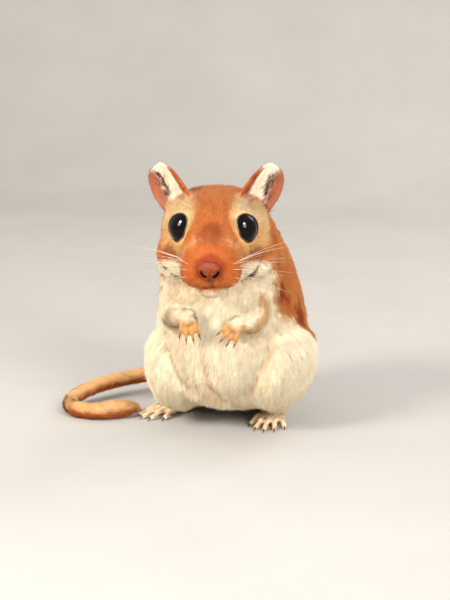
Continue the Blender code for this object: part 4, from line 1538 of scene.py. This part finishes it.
    def fields(self) -> None:
        """Works out the hair's length, width and lie at each point."""
        count = len(self.surface.points)
        self.length, self.width, self.lift = (np.zeros(count) for _ in range(3))
        for part, pelt in PELTS.items():
            here = self.where(part)
            self.length[here] = pelt.length
            self.width[here] = pelt.width
            self.lift[here] = pelt.lift_degrees
        h = self.head.local(self.surface.points)
        on_head = self.where(Part.HEAD)
        growth = 0.42 + 0.95 * ramp(h[:, 1], -17.0, 6.0)
        self.length[on_head] *= growth[on_head]
        self.width[on_head] *= (0.75 + 0.45 * ramp(h[:, 1], -16.0, 8.0))[on_head]
        for side in Side:
            ear = self.on("ear_" + side.word)
            below_top = h[ear, 2].max() - h[ear, 2]
            self.length[ear] *= 0.35 + 0.65 * ramp(below_top, 0.3, 4.0)
        self.length[self.on("tail_tip")] *= 1.25
        self.length = self.surface.smoothed(self.length, 40)
        self.width = self.surface.smoothed(self.width, 40)
        self.lift = self.surface.smoothed(self.lift, 20)

    def build(self) -> None:
        """Makes the skin's arrays: remeshed, smoothed, drawn in by the coat's depth, and carved."""
        self.surface = self.remeshed()
        self.label()
        thin = self.where(Part.FOREPAW, Part.HIND_FOOT, Part.EAR)
        fine = self.where(Part.HEAD)
        scale = 1.0
        for chosen, passes in ((~(thin | fine), self.body_passes), (fine, self.face_passes), (thin, 2)):
            weight = self.surface.smoothed(chosen.astype(float), 8)
            passes = max(2, int(passes * scale))
            self.surface.points = self.surface.smoothed(self.surface.points, passes, weight)
        self.fields()
        depth = self.length * np.sin(np.radians(self.lift)) + self.bridge
        depth[thin] = self.thin_depth
        depth = self.surface.smoothed(depth, 14)
        self.surface.points -= self.surface.normals() * depth[:, None] * MM
        self.carve()
        self.open_eyes()
        keep_above(self.surface.points, self.floor_gap)

    def press(self, line: Array, radius: float, depth: float) -> None:
        """Presses a crease into the skin.

        Args:
            line: The crease's line in metres.
            radius: Half its width in millimetres.
            depth: How deep it is in millimetres.
        """
        gap = gap_to(line, self.surface.points)
        share = bell(gap, 0.0, radius * MM)
        near = share > 0.01
        self.surface.points[near] -= (self.surface.normals() * (share * depth * MM)[:, None])[near]

    def snapped(self, line: Array) -> Array:
        """A line through places in metres, smooth and laid on the skin."""
        tree = self.tree()
        rough = [tree.find_nearest(Vector(p))[0] for p in line]
        return smooth_line(np.array(rough), 5)

    def carve(self) -> None:
        """Presses the mouth, the lip's cleft, and the folds under the cheeks and beside the belly."""
        self.nose.rest_on(self.tree())
        self.creases = [self.snapped(self.head.place(line)) for line in (self.mouth, self.lip_cleft)]
        for line in self.creases:
            self.press(line, *self.crease_press)
        for line in self.cheek_folds:
            self.cheek_lines.append(self.snapped(self.head.place(line)))
            self.press(self.cheek_lines[-1], *self.cheek_press)
        for line, half_width, depth in self.body_folds:
            self.fold_lines.append(self.snapped(body_place(line)))
            self.press(self.fold_lines[-1], half_width, depth)
        for lines in (self.creases, self.cheek_lines, self.fold_lines):
            lines[:] = [self.snapped(line[::4]) for line in lines]
        for line in self.cheek_lines:
            self.length *= 0.35 + 0.65 * ramp(gap_to(line, self.surface.points), 0.4 * MM, 1.8 * MM)
        seat = self.nose.middle()
        self.press(np.array([seat, seat + 0.01 * MM]), self.nose.seat_radius, self.nose.seat_depth)

    def open_eyes(self) -> None:
        """Hollows the skin behind each eyeball and raises a soft lid round it."""
        for eye in self.eyes:
            reach, angle, edge = eye.polar(self.surface.points)
            near = reach < eye.radius + 4 * MM
            out = unit(self.surface.points - eye.centre)
            past = np.degrees(angle - edge)
            lid = eye.radius + (self.lid_height + self.lid_swell * bell(past, 9.0, 9.0)) * MM
            shape = np.where(past > 1.0, np.maximum(reach, lid), eye.radius - self.ball_sink * MM)
            self.surface.points[near] = (eye.centre + out * shape[:, None])[near]
            ring = near * ramp(past, 4.0, 12.0) * ramp(past, 62.0, 46.0)
            self.surface.points = self.surface.smoothed(self.surface.points, 24, ring)
            lowest = eye.radius + self.lid_least * MM
            low = (ring > 0) & (eye.polar(self.surface.points)[0] < lowest)
            out = unit(self.surface.points - eye.centre)
            self.surface.points[low] = (eye.centre + out * lowest)[low]

    def tree(self) -> BVHTree:
        """A tree for finding places on the skin."""
        return BVHTree.FromPolygons(self.surface.points.tolist(), self.surface.triangles.tolist())

    def bare(self) -> Array:
        """How much hair each point keeps: 0 on the eyes, lips, nose pad and soles, and on the floor."""
        points, normals = self.surface.points, self.surface.normals()
        hair = np.ones(len(points))
        for eye in self.eyes:
            reach, angle, edge = eye.polar(points)
            inside = (reach < eye.radius + 2.5 * MM) & (np.degrees(angle - edge) < 4.0)
            hair[inside] = 0
        for line in self.creases:
            hair *= ramp(gap_to(line, points), 0.15 * MM, 0.40 * MM)
        for line in self.cheek_lines:
            hair *= 0.6 + 0.4 * ramp(gap_to(line, points), 0.3 * MM, 0.8 * MM)
        hair *= ramp(self.nose.reach(self.head.local(points)), 0.90, 1.02)
        feet = self.where(Part.HIND_FOOT, Part.FOREPAW)
        hair[feet & (normals[:, 2] < -0.45)] = 0
        hair[points[:, 2] < 0.25 * MM] = 0
        return hair

    def flow(self) -> Array:
        """The way the hair lies at each point, along the skin."""
        points = self.surface.points
        body = body_local(points)
        ways = np.tile((0.0, 0.30, -1.0), (len(points), 1))
        ways[self.where(Part.HIND_LEG)] = (0.0, 0.10, -1.0)
        head = self.where(Part.HEAD)
        h = self.head.local(points)
        back = unit(h - (0.0, -21.0, -2.0))
        back[:, 2] -= 0.45 * ramp(h[:, 1], -4.0, 12.0) + 0.25 * ramp(-h[:, 2], 2.0, 8.0)
        ways[head] = self.head.way(back)[head]
        for name, line in LIE_LINES.items():
            here = self.on(name)
            ways[here] = distance_to_line(body[here], np.array(line))[1]
        for name, paw in self.paws.items():
            ways[self.on(name)] = -np.array(paw.place)[:3, 1]
        for side in Side:
            ways[self.on("ear_" + side.word)] = self.head.way(side.turned((0.40, -0.06, 0.91)))
        ways = self.surface.smoothed(unit(ways), 30)
        for eye in self.eyes:
            reach, angle, edge = eye.polar(points)
            share = ramp(np.degrees(angle - edge), 26.0, 4.0) * (reach < eye.radius + 3 * MM)
            look = eye.axes()[0]
            away = unit(points - eye.centre)
            away = unit(away - look * (away @ look)[:, None]) - 0.8 * look
            ways += away * (1.6 * share)[:, None]
        normals = self.surface.normals()
        ways -= normals * np.sum(ways * normals, axis=1)[:, None]
        return unit(ways)

    def streaked(self, steps: int = 9) -> Array:
        """Noise drawn out along the lie of the hair, one value for each point, spread by 1 about 0."""
        surface = self.surface
        ends = np.vstack([surface.edges, surface.edges[:, ::-1]])
        step = unit(surface.points[ends[:, 1]] - surface.points[ends[:, 0]])
        along = np.sum(step * self.flow()[ends[:, 0]], axis=1)
        order = np.lexsort((along, ends[:, 0]))
        following = ends[order, 1][np.cumsum(surface.degree) - 1]
        grain = np.random.default_rng(self.streak_seed).normal(size=len(surface.points))
        total, spot = grain.copy(), np.arange(len(grain))
        for _ in range(steps):
            spot = following[spot]
            total += grain[spot]
        return np.clip(total / math.sqrt(steps + 1), -2.2, 2.2)

    def tinted(self, colours: Array, streaks: Array) -> Array:
        """Colours with paler and yellower streaks among deeper and redder ones."""
        return colours * np.exp(streaks[:, None] * np.array(self.streak_tint))

    def colours(self) -> Array:
        """The markings at each point, with painted shade between the digits and along the creases and
        folds.
        """
        points, normals = self.surface.points, self.surface.normals()
        marks = self.marks
        found = layered(
            marks.body_colours(points, normals),
            (marks.head_colours(points), self.share(12, Part.HEAD)),
            (marks.tail_colours(points, normals), self.share(10, Part.TAIL)),
            (marks.paw_colours(points, Part.FOREPAW), self.share(14, Part.FOREPAW)),
            (marks.paw_colours(points, Part.HIND_FOOT), self.share(14, Part.HIND_FOOT)),
            # painted shade in the grooves between the digits
            (marks.knuckle, 0.7 * self.between_digits()),
            (marks.ear_colours(points, self.ear_inside()), self.share(6, Part.EAR)),
        )
        # painted shade along the mouth and the lip's cleft, the cheek folds and the folds beside the
        # belly
        crease_shades = (  # lines, colour, strength, and the gaps at which it starts and is full
            (self.creases, marks.crease, 0.8, 0.55, 0.15),
            (self.cheek_lines, marks.ear_hair, 0.95, 0.95, 0.4),
            (self.fold_lines, marks.tan, 0.45, 1.3, 0.2),
        )
        for lines, code, strength, start, full in crease_shades:
            for line in lines:
                found = blended(found, code, strength * ramp(gap_to(line, points), start * MM, full * MM))
        return found

    def between_digits(self) -> Array:
        """1 in the grooves between fingers and toes, where shade is painted, 0 on their backs."""
        groove = np.zeros(len(self.surface.points))
        for name, paw in self.paws.items():
            here = self.on(name)
            local = moved(self.surface.points[here], paw.place.inverted()) / MM
            gap = np.full(len(local), np.inf)
            for digit in paw.digits:
                gap = np.minimum(gap, gap_to(paw.digit_line(digit)[:, :3], local))
            root = max(digit[2] for digit in paw.digits)
            between = ramp(gap, 0.95 * paw.radii[1], 1.5 * paw.radii[1])
            groove[here] = between * ramp(local[:, 1], root, root - 1.0)
        return groove

    def ear_inside(self) -> Array:
        """1 on the ears' hollow faces, 0 on their backs."""
        normals = self.surface.normals()
        h = self.head.local(self.surface.points)
        facing = np.tile(self.ear_facing, (len(h), 1))
        facing[:, 0] *= np.sign(h[:, 0])
        facing = self.head.way(facing)
        return ramp(np.sum(normals * unit(facing), axis=1), 0.10, 0.45)

    def shown(self) -> Object:
        """The skin's object, thinned where it is plain, painted and unwrapped."""
        # painted shade: the markings darkened on the skin, which shows between the tufts
        colours = self.tinted(self.colours(), self.streaked()) * self.skin_gap_shade
        obj = mesh_of("skin", self.surface.points, self.surface.triangles)
        paint(obj, MARKS, colours)
        spare = obj.vertex_groups.new(name="spare")
        fine = self.share(12, Part.HEAD, Part.FOREPAW, Part.HIND_FOOT, Part.EAR)
        spare.add(np.flatnonzero(fine < 0.02).tolist(), 1.0, "REPLACE")
        thin = obj.modifiers.new("thin", "DECIMATE")
        thin.ratio = min(1.0, self.most_triangles / len(self.surface.triangles))
        thin.vertex_group = spare.name
        thin.vertex_group_factor = 0.1
        settle(obj)
        obj.data.shade_smooth()
        unwrapped(obj)
        return obj


@dataclass
class Roots:
    """Where the tufts of a piece of the coat grow from the skin."""

    surface: Surface
    at: Array  # each root's triangle
    shares: Array  # its place in the triangle, as the shares of the three corners

    def kept(self, chosen: Array) -> "Roots":
        """Only the chosen roots."""
        return Roots(self.surface, self.at[chosen], self.shares[chosen])

    def read(self, values: Array) -> Array:
        """Values of the skin's points, at the roots."""
        weights = self.shares if values.ndim == 1 else self.shares[:, :, None]
        return (values[self.surface.triangles[self.at]] * weights).sum(axis=1)

    def nearest(self) -> Array:
        """The number of the skin's point nearest to each root."""
        return self.surface.triangles[self.at, self.shares.argmax(axis=1)]


@dataclass
class Coat:
    """The fur: solid three-sided tufts in pieces, one for each stretch of the body."""

    skin: Skin
    finish: Material
    first_seed: int = 60
    quick_density: float = 0.3
    sink: float = 0.15
    patch: float = 0.003  # a tuft's place on the map, as a share of the map
    yaw_spread: float = 9.0
    drift_steps: int = 3
    clump_size: int = 15  # tufts to a clump
    floor_gap: float = 0.03
    tick_share: float = 0.03  # dark hairs among the orange ones
    tick_blue: float = 0.12  # the most blue that an orange hair has
    tick_strength: float = 0.75
    stroke_middle: float = 0.34  # of the dark strokes in the ears, from -1 to 1 across
    stroke_width: float = 0.17
    stroke_share: float = 0.6  # dark hairs among those of a stroke
    stroke_growth: float = 0.9  # how much longer and wider they are
    hollow_thinning: float = 0.9  # how much of the hair beside the strokes is left out
    lean: float = 0.45  # how far a tuft's normals turn to its sides
    tip_lean: float = 0.3
    tone_spread: float = 0.06
    warm_drift: Point = (1.0, 0.985, 0.955)
    # partly painted shade deep in the coat, partly the hair's own darker base
    root_shade_tint: Point = (0.93, 0.82, 0.76)
    tip_tint: float = 1.04
    most_triangles: int = 195_000
    normals: Array = field(init=False)
    flow: Array = field(init=False)
    hair: Array = field(init=False)
    marks: Array = field(init=False)
    streaks: Array = field(init=False)
    inside: Array = field(init=False)
    neighbours: Array = field(init=False)
    first_neighbour: Array = field(init=False)

    def stretches(self) -> dict[str, Array]:
        """The pieces of the coat, as a mark for each of the skin's triangles."""
        skin = self.skin
        triangles = skin.surface.triangles
        middle = skin.surface.points[triangles].mean(axis=1)
        body = body_local(middle)
        h = skin.head.local(middle)
        left, behind = body[:, 0] > SEAT[0], body[:, 1] > 8.0
        face, high = h[:, 1] < -6.0, h[:, 2] > 1.5
        areas = {
            "coat_muzzle": face,
            "coat_crown": ~face & high,
            "coat_cheeks": ~face & ~high,
            "coat_chest": ~behind,
            "coat_back_left": behind & left,
            "coat_back_right": behind & ~left,
        }
        return {n: skin.where(*parts)[triangles[:, 0]] & areas.get(n, True) for n, parts in COATS.items()}

    def build(self) -> list[Object]:
        """Makes every piece of the coat.

        Returns:
            The pieces.
        """
        skin = self.skin
        self.normals = skin.surface.normals()
        self.flow = skin.flow()
        self.hair = skin.bare()
        self.marks = skin.colours()
        self.streaks = skin.streaked()
        self.inside = skin.ear_inside()
        ends = np.vstack([skin.surface.edges, skin.surface.edges[:, ::-1]])
        self.neighbours = ends[np.argsort(ends[:, 0], kind="stable"), 1]
        self.first_neighbour = np.cumsum(skin.surface.degree) - skin.surface.degree
        pieces = []
        for seed, (name, chosen) in enumerate(self.stretches().items(), self.first_seed):
            pieces.append(self.piece(name, np.flatnonzero(chosen), np.random.default_rng(seed)))
        return pieces

    def roots(self, faces: Array, density: float, rng: Draw) -> Roots:
        """Spreads roots evenly over triangles of the skin.

        Args:
            faces: The triangles' numbers.
            density: Tufts to a square millimetre.
            rng: The draw.

        Returns:
            The roots, no more than a piece may have.
        """
        surface = self.skin.surface
        corners = surface.triangles[faces]
        a, b, c = (surface.points[corners[:, k]] for k in range(3))
        area = np.linalg.norm(np.cross(b - a, c - a), axis=1) / 2 / MM**2
        area *= self.hair[corners].mean(axis=1)
        total = np.cumsum(area * density)
        marks = np.arange(int(total[-1])) + rng.uniform(0, 1, int(total[-1]))
        at = np.searchsorted(total, np.minimum(marks, total[-1] * 0.999999))
        u, v = np.sqrt(rng.uniform(0, 1, len(at))), rng.uniform(0, 1, len(at))
        found = Roots(surface, faces[at], np.column_stack([1 - u, u * (1 - v), u * v]))
        most = self.most_triangles // len(TUFT_FACES)
        if len(at) > most:
            found = found.kept(np.sort(rng.choice(len(at), most, replace=False)))
        return found

    def piece(self, name: str, faces: Array, rng: Draw) -> Object:
        """Makes one piece of the coat.

        Args:
            name: The piece's name.
            faces: The skin's triangles that it grows on.
            rng: The draw.

        Returns:
            The piece, with its colours and its map.
        """
        pelt = PELTS[COATS[name][0]]
        roots = self.roots(faces, pelt.density * (1.0), rng)
        dark = np.zeros(len(roots.at))
        if name == "coat_ears":
            roots, dark = self.ear_strokes(roots, rng)
        marks = blended(self.drifted_marks(roots, rng), self.skin.marks.ear_hair, dark)
        ticked = (marks[:, 2] < self.tick_blue) & (rng.uniform(0, 1, len(marks)) < self.tick_share)
        marks = blended(marks, self.skin.marks.tick, self.tick_strength * ticked)
        places = self.map_places(name, faces, roots)
        return self.tufts(name, pelt, roots, 1 + self.stroke_growth * dark, places, marks, rng)

    def ear_strokes(self, roots: Roots, rng: Draw) -> tuple[Roots, Array]:
        """Thins the hair in the ears' hollows, and picks the dark hairs of the strokes in them.

        Args:
            roots: The roots on the ears.
            rng: The draw.

        Returns:
            The roots that stay, and 1 for each that is dark.
        """
        inner = roots.read(self.inside)
        spots = self.skin.head.local(roots.read(self.skin.surface.points))
        across = self.skin.marks.ear_side(spots)
        band = bell(across, self.stroke_middle, self.stroke_width) * (inner > 0.5)
        bare = self.hollow_thinning * inner * (1 - band) * (across > -0.6)
        kept = rng.uniform(0, 1, len(inner)) > bare
        below_top = spots[kept, 2].max() - spots[kept, 2]
        chance = self.stroke_share * band[kept] * ramp(below_top, 2.4, 4.2)
        return roots.kept(kept), (rng.uniform(0, 1, len(chance)) < chance).astype(float)

    def drifted_marks(self, roots: Roots, rng: Draw) -> Array:
        """Reads the markings at the roots, each some random steps away so that colours mingle.

        Args:
            roots: The roots.
            rng: The draw.

        Returns:
            A colour for each root.
        """
        spot = roots.nearest()
        streaks = self.streaks[spot]
        for _ in range(self.drift_steps):
            pick = (rng.uniform(0, 1, len(spot)) * self.skin.surface.degree[spot]).astype(int)
            spot = self.neighbours[self.first_neighbour[spot] + pick]
        return self.skin.tinted(self.marks[spot], streaks)

    def map_places(self, name: str, faces: Array, roots: Roots) -> Array:
        """Finds the roots' places on an unwrap of this stretch of skin.

        Args:
            name: The piece's name.
            faces: The skin's triangles that it grows on.
            roots: The roots.

        Returns:
            A place on the map for each root.
        """
        used, corners = np.unique(self.skin.surface.triangles[faces], return_inverse=True)
        cloth = mesh_of(name + "_pattern", self.skin.surface.points[used], corners.reshape(-1, 3))
        flat = unwrapped(cloth).reshape(-1, 3, 2)
        bpy.data.objects.remove(cloth)
        row = np.searchsorted(faces, roots.at)
        return (flat[row] * roots.shares[:, :, None]).sum(axis=1)

    def clumps(self, feet: Array, rng: Draw) -> tuple[Array, Array]:
        """Gathers neighbouring roots into clumps.

        Args:
            feet: The roots' places in metres.
            rng: The draw.

        Returns:
            The number of each root's clump, and the way from each root to its clump's middle.
        """
        seeds = np.sort(rng.choice(len(feet), max(1, len(feet) // self.clump_size), replace=False))
        tree = KDTree(len(seeds))
        for k, seed in enumerate(seeds.tolist()):
            tree.insert(feet[seed], k)
        tree.balance()
        clump = np.array([tree.find(foot)[1] for foot in feet.tolist()])
        return clump, feet[seeds[clump]] - feet

    def tufts(
        self,
        name: str,
        pelt: Pelt,
        roots: Roots,
        growth: Array,
        places: Array,
        marks: Array,
        rng: Draw,
    ) -> Object:
        """Grows a tuft at each root.

        Args:
            name: The piece's name.
            pelt: How the hair grows here.
            roots: Where they are rooted.
            growth: How much longer and wider each tuft is than its neighbours.
            places: Each root's place on the map.
            marks: Each tuft's colour.
            rng: The draw.

        Returns:
            The piece.
        """
        count = len(roots.at)
        feet = roots.read(self.skin.surface.points)
        normal = unit(roots.read(self.normals))
        lie = roots.read(self.flow)
        lie = unit(lie - normal * np.sum(lie * normal, axis=1)[:, None])
        clump, inward = self.clumps(feet, rng)
        lock = rng.normal(0.0, 1.0, (clump.max() + 1, 3))[clump]
        length = roots.read(self.skin.length) * rng.uniform(0.75, 1.15, count) * MM
        length *= growth * (1 + 0.07 * lock[:, 0])
        width = roots.read(self.skin.width) * rng.uniform(0.8, 1.2, count) * growth * MM
        lift = np.radians(roots.read(self.skin.lift)) * rng.uniform(0.6, 1.3, count)
        lift *= 1 + 0.20 * ripple(feet, 4.0, 23) + 0.14 * lock[:, 1]
        swirl = 8.0 * ripple(feet, 3.2, 24)
        yaw = np.radians(self.yaw_spread * rng.normal(size=count) + swirl + 5.0 * lock[:, 2])
        across = np.cross(lie, normal)
        lie = lie * np.cos(yaw)[:, None] + across * np.sin(yaw)[:, None]
        across = np.cross(lie, normal)
        half = width[:, None] / 2
        wide = across * half
        foot = feet - normal * self.sink * MM
        tip = feet + (lie * np.cos(lift)[:, None] + normal * np.sin(lift)[:, None]) * length[:, None]
        tip += inward * pelt.clump
        points = np.stack([foot - wide, foot + wide, foot + normal * half * 1.4, tip], axis=1)
        keep_above(points, self.floor_gap)
        faces = (np.arange(count)[:, None, None] * 4 + TUFT_FACES[None]).reshape(-1, 3)
        obj = mesh_of(name, points.reshape(-1, 3), faces)
        self.dress(obj, normal, across, lie, marks * (1 + 0.05 * lock[:, :1]), rng)
        self.lay_map(obj, places)
        obj.data.materials.append(self.finish)
        return obj

    def dress(
        self,
        obj: Object,
        normal: Array,
        across: Array,
        lie: Array,
        marks: Array,
        rng: Draw,
    ) -> None:
        """Gives a piece its soft normals and the colour of each tuft, deeper and warmer at its root,
        partly as painted shade deep in the coat.

        Args:
            obj: The piece.
            normal: The skin's normal under each tuft.
            across: The way across each tuft.
            lie: The way along each tuft.
            marks: The colour of each tuft.
            rng: The draw.
        """
        count = len(normal)
        lean = np.array((-self.lean, self.lean, 0.0, 0.0))[None, :, None]
        soft = normal[:, None] + lean * across[:, None]
        soft[:, 3] += self.tip_lean * lie
        obj.data.normals_split_custom_set_from_vertices(unit(soft).reshape(-1, 3).astype(np.float32))
        tone = rng.normal(1.0, self.tone_spread, count)[:, None]
        warm = np.array(self.warm_drift) ** rng.normal(0, 1.0, count)[:, None]
        tip = marks * tone * warm
        # partly painted shade: each tuft's root is a darker, warmer copy of its tip
        root = tip * self.root_shade_tint
        shown = np.stack([root, root, root, tip * self.tip_tint], axis=1)
        paint(obj, MARKS, np.clip(shown, 0, 1).reshape(-1, 3))

    def lay_map(self, obj: Object, places: Array) -> None:
        """Lays each tuft as a small patch at its root's place on the map."""
        offset = np.array(((-0.5, 0.0), (0.5, 0.0), (0.0, 0.1), (0.0, 1.0))) * self.patch
        spots = np.clip(places[:, None] + offset[None], 0.0, 1.0)
        layer = obj.data.uv_layers.new(name=BAKE_MAP)
        layer.uv.foreach_set("vector", spots[:, TUFT_FACES.ravel()].astype(np.float32).ravel())


@dataclass
class Studio:
    """A pale floor that sweeps up behind the animal, soft lamps and the camera."""

    aim: Point = (-1.93, 5.5, 31.7)
    azimuth_degrees: float = 15.0
    elevation_degrees: float = 12.0
    distance: float = 360.0
    lens: float = 86.4
    sensor: float = 36.0
    floor_reach: float = 900.0
    sweep_start: float = 330.0
    sweep_rise: float = 620.0
    sweep_radius: float = 260.0
    lamps: tuple[tuple[str, Point, float, float, str], ...] = (
        ("key", (-270.0, -430.0, 310.0), 200.0, 3.1, "FFF8F0"),
        ("fill", (350.0, -420.0, 270.0), 220.0, 2.7, "FAFAFF"),
        ("rim", (220.0, 330.0, 330.0), 240.0, 0.8, "FFFAF4"),
    )
    catch_lights: tuple[tuple[str, Point, float, float], ...] = (  # seen in gloss alone, as in the eyes
        ("catch_left", (-215.0, -350.0, 430.0), 170.0, 7.0),
        ("catch_right", (290.0, -340.0, 400.0), 150.0, 5.0),
    )
    room_light: float = 0.85
    room_colour: Point = (1.0, 0.985, 0.965)

    def build(self) -> None:
        """Sets up the whole studio."""
        self.floor()
        target = Vector(body_place(self.aim))
        for name, place, size, power, colour in self.lamps:
            self.lamp(name, place, size, power, target).data.color = linear(colour)
        for name, place, size, power in self.catch_lights:
            self.lamp(name, place, size, power, target).visible_diffuse = False
        world = bpy.data.worlds.new("room")
        world.use_nodes = True
        background = world.node_tree.nodes["Background"]
        background.inputs["Color"].default_value = (*self.room_colour, 1.0)
        background.inputs["Strength"].default_value = self.room_light
        bpy.context.scene.world = world
        bpy.context.scene.view_settings.view_transform = "Standard"
        self.camera(target)

    def lamp(self, name: str, place: Point, size: float, power: float, target: Vector) -> Object:
        """Sets up a round soft lamp.

        Args:
            name: The lamp's name.
            place: Where it stands, in millimetres.
            size: Its width in millimetres.
            power: Its power in watts.
            target: What it points at.

        Returns:
            The lamp.
        """
        light = bpy.data.lights.new(name, "AREA")
        light.shape = "DISK"
        light.size = size * MM
        light.energy = power
        obj = linked(name, light)
        obj.location = Vector(place) * MM
        obj.rotation_euler = (target - obj.location).to_track_quat("-Z", "Y").to_euler()
        return obj

    def floor(self) -> None:
        """Makes the floor and the backdrop as one curved sheet."""
        profile = [(-self.floor_reach, 0.0), (self.sweep_start, 0.0)]
        radius = self.sweep_radius
        for angle in np.radians(np.linspace(6, 90, 15)):
            profile.append((self.sweep_start + radius * math.sin(angle), radius * (1 - math.cos(angle))))
        profile.append((self.sweep_start + radius, self.sweep_rise))
        rows = [(x, y, z) for y, z in profile for x in (-self.floor_reach, self.floor_reach)]
        faces = [(2 * k, 2 * k + 1, 2 * k + 3, 2 * k + 2) for k in range(len(profile) - 1)]
        floor = mesh_of("floor", np.array(rows) * MM, np.array(faces))
        floor.data.materials.append(FloorFinish().material())

    def camera(self, target: Vector) -> None:
        """Puts the camera at the picture's angle and framing.

        Args:
            target: What it points at.
        """
        a, e = math.radians(self.azimuth_degrees), math.radians(self.elevation_degrees)
        back = Vector((math.sin(a) * math.cos(e), -math.cos(a) * math.cos(e), math.sin(e)))
        data = bpy.data.cameras.new("camera")
        data.lens = self.lens
        data.sensor_width = self.sensor
        data.clip_start = 0.01
        camera = linked("camera", data)
        camera.location = target + back * self.distance * MM
        camera.rotation_euler = (-back).to_track_quat("-Z", "Y").to_euler()
        bpy.context.scene.camera = camera


@dataclass
class Gerbil:
    """The whole animal."""

    head: HeadFrame = HeadFrame()

    def finish(self, obj: Object, slot: str, material: Material | None = None) -> None:
        """Gives a piece its body and its material, and reports it.

        Args:
            obj: The piece.
            slot: Not used.
            material: Its material, if it hasn't one yet.
        """
        if material:
            obj.data.materials.clear()
            obj.data.materials.append(material)
        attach(obj, ROOT_BODY)
        log.info("%s: %d faces", obj.name, len(obj.data.polygons))

    def build(self) -> None:
        """Makes every piece, from the eyes to the whiskers."""
        eyes = [Eye(side, self.head) for side in Side]
        paws = {"hind_foot_" + side.word: hind_foot(side) for side in Side}
        paws |= {"forepaw_" + side.word: forepaw(side) for side in Side}
        nose = NosePad(self.head)
        skin = Skin(self.head, Markings(self.head), eyes, nose, paws)
        skin.build()
        shown = skin.shown()
        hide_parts(*skin.flesh_nodes())
        self.finish(shown, "coat", SkinFinish().material())
        for obj in Coat(skin, CoatFinish().material()).build():
            self.finish(obj, SLOTS.get(obj.name, "coat"))
        eye_material = EyeFinish().material()
        lid_material = LidFinish().material()
        for eye in eyes:
            ball, rim = eye.build()
            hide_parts("eye_" + eye.side.word)
            self.finish(ball, "eye", eye_material)
            self.finish(rim, "paw", lid_material)
        self.finish(nose.build(), "paw", NoseFinish().material())
        claw_material = HornFinish("claw", "2A1A12", "5A3C28").material()
        for name, paw in paws.items():
            claws = mesh_of(name.replace("paw", "claws").replace("foot", "claws"), *paw.claws())
            self.finish(claws, "paw", claw_material)
        whiskers = Whiskers(self.head).build(skin.tree())
        self.finish(whiskers, "coat", HornFinish("whisker", "A98A6C", "EADBC4", 0.4).material())


def main() -> None:
    """Builds the animal and its studio."""
    logging.basicConfig(level=logging.INFO, format="%(name)s: %(message)s")
    Gerbil().build()
    Studio().build()


if __name__ == "__main__":
    main()
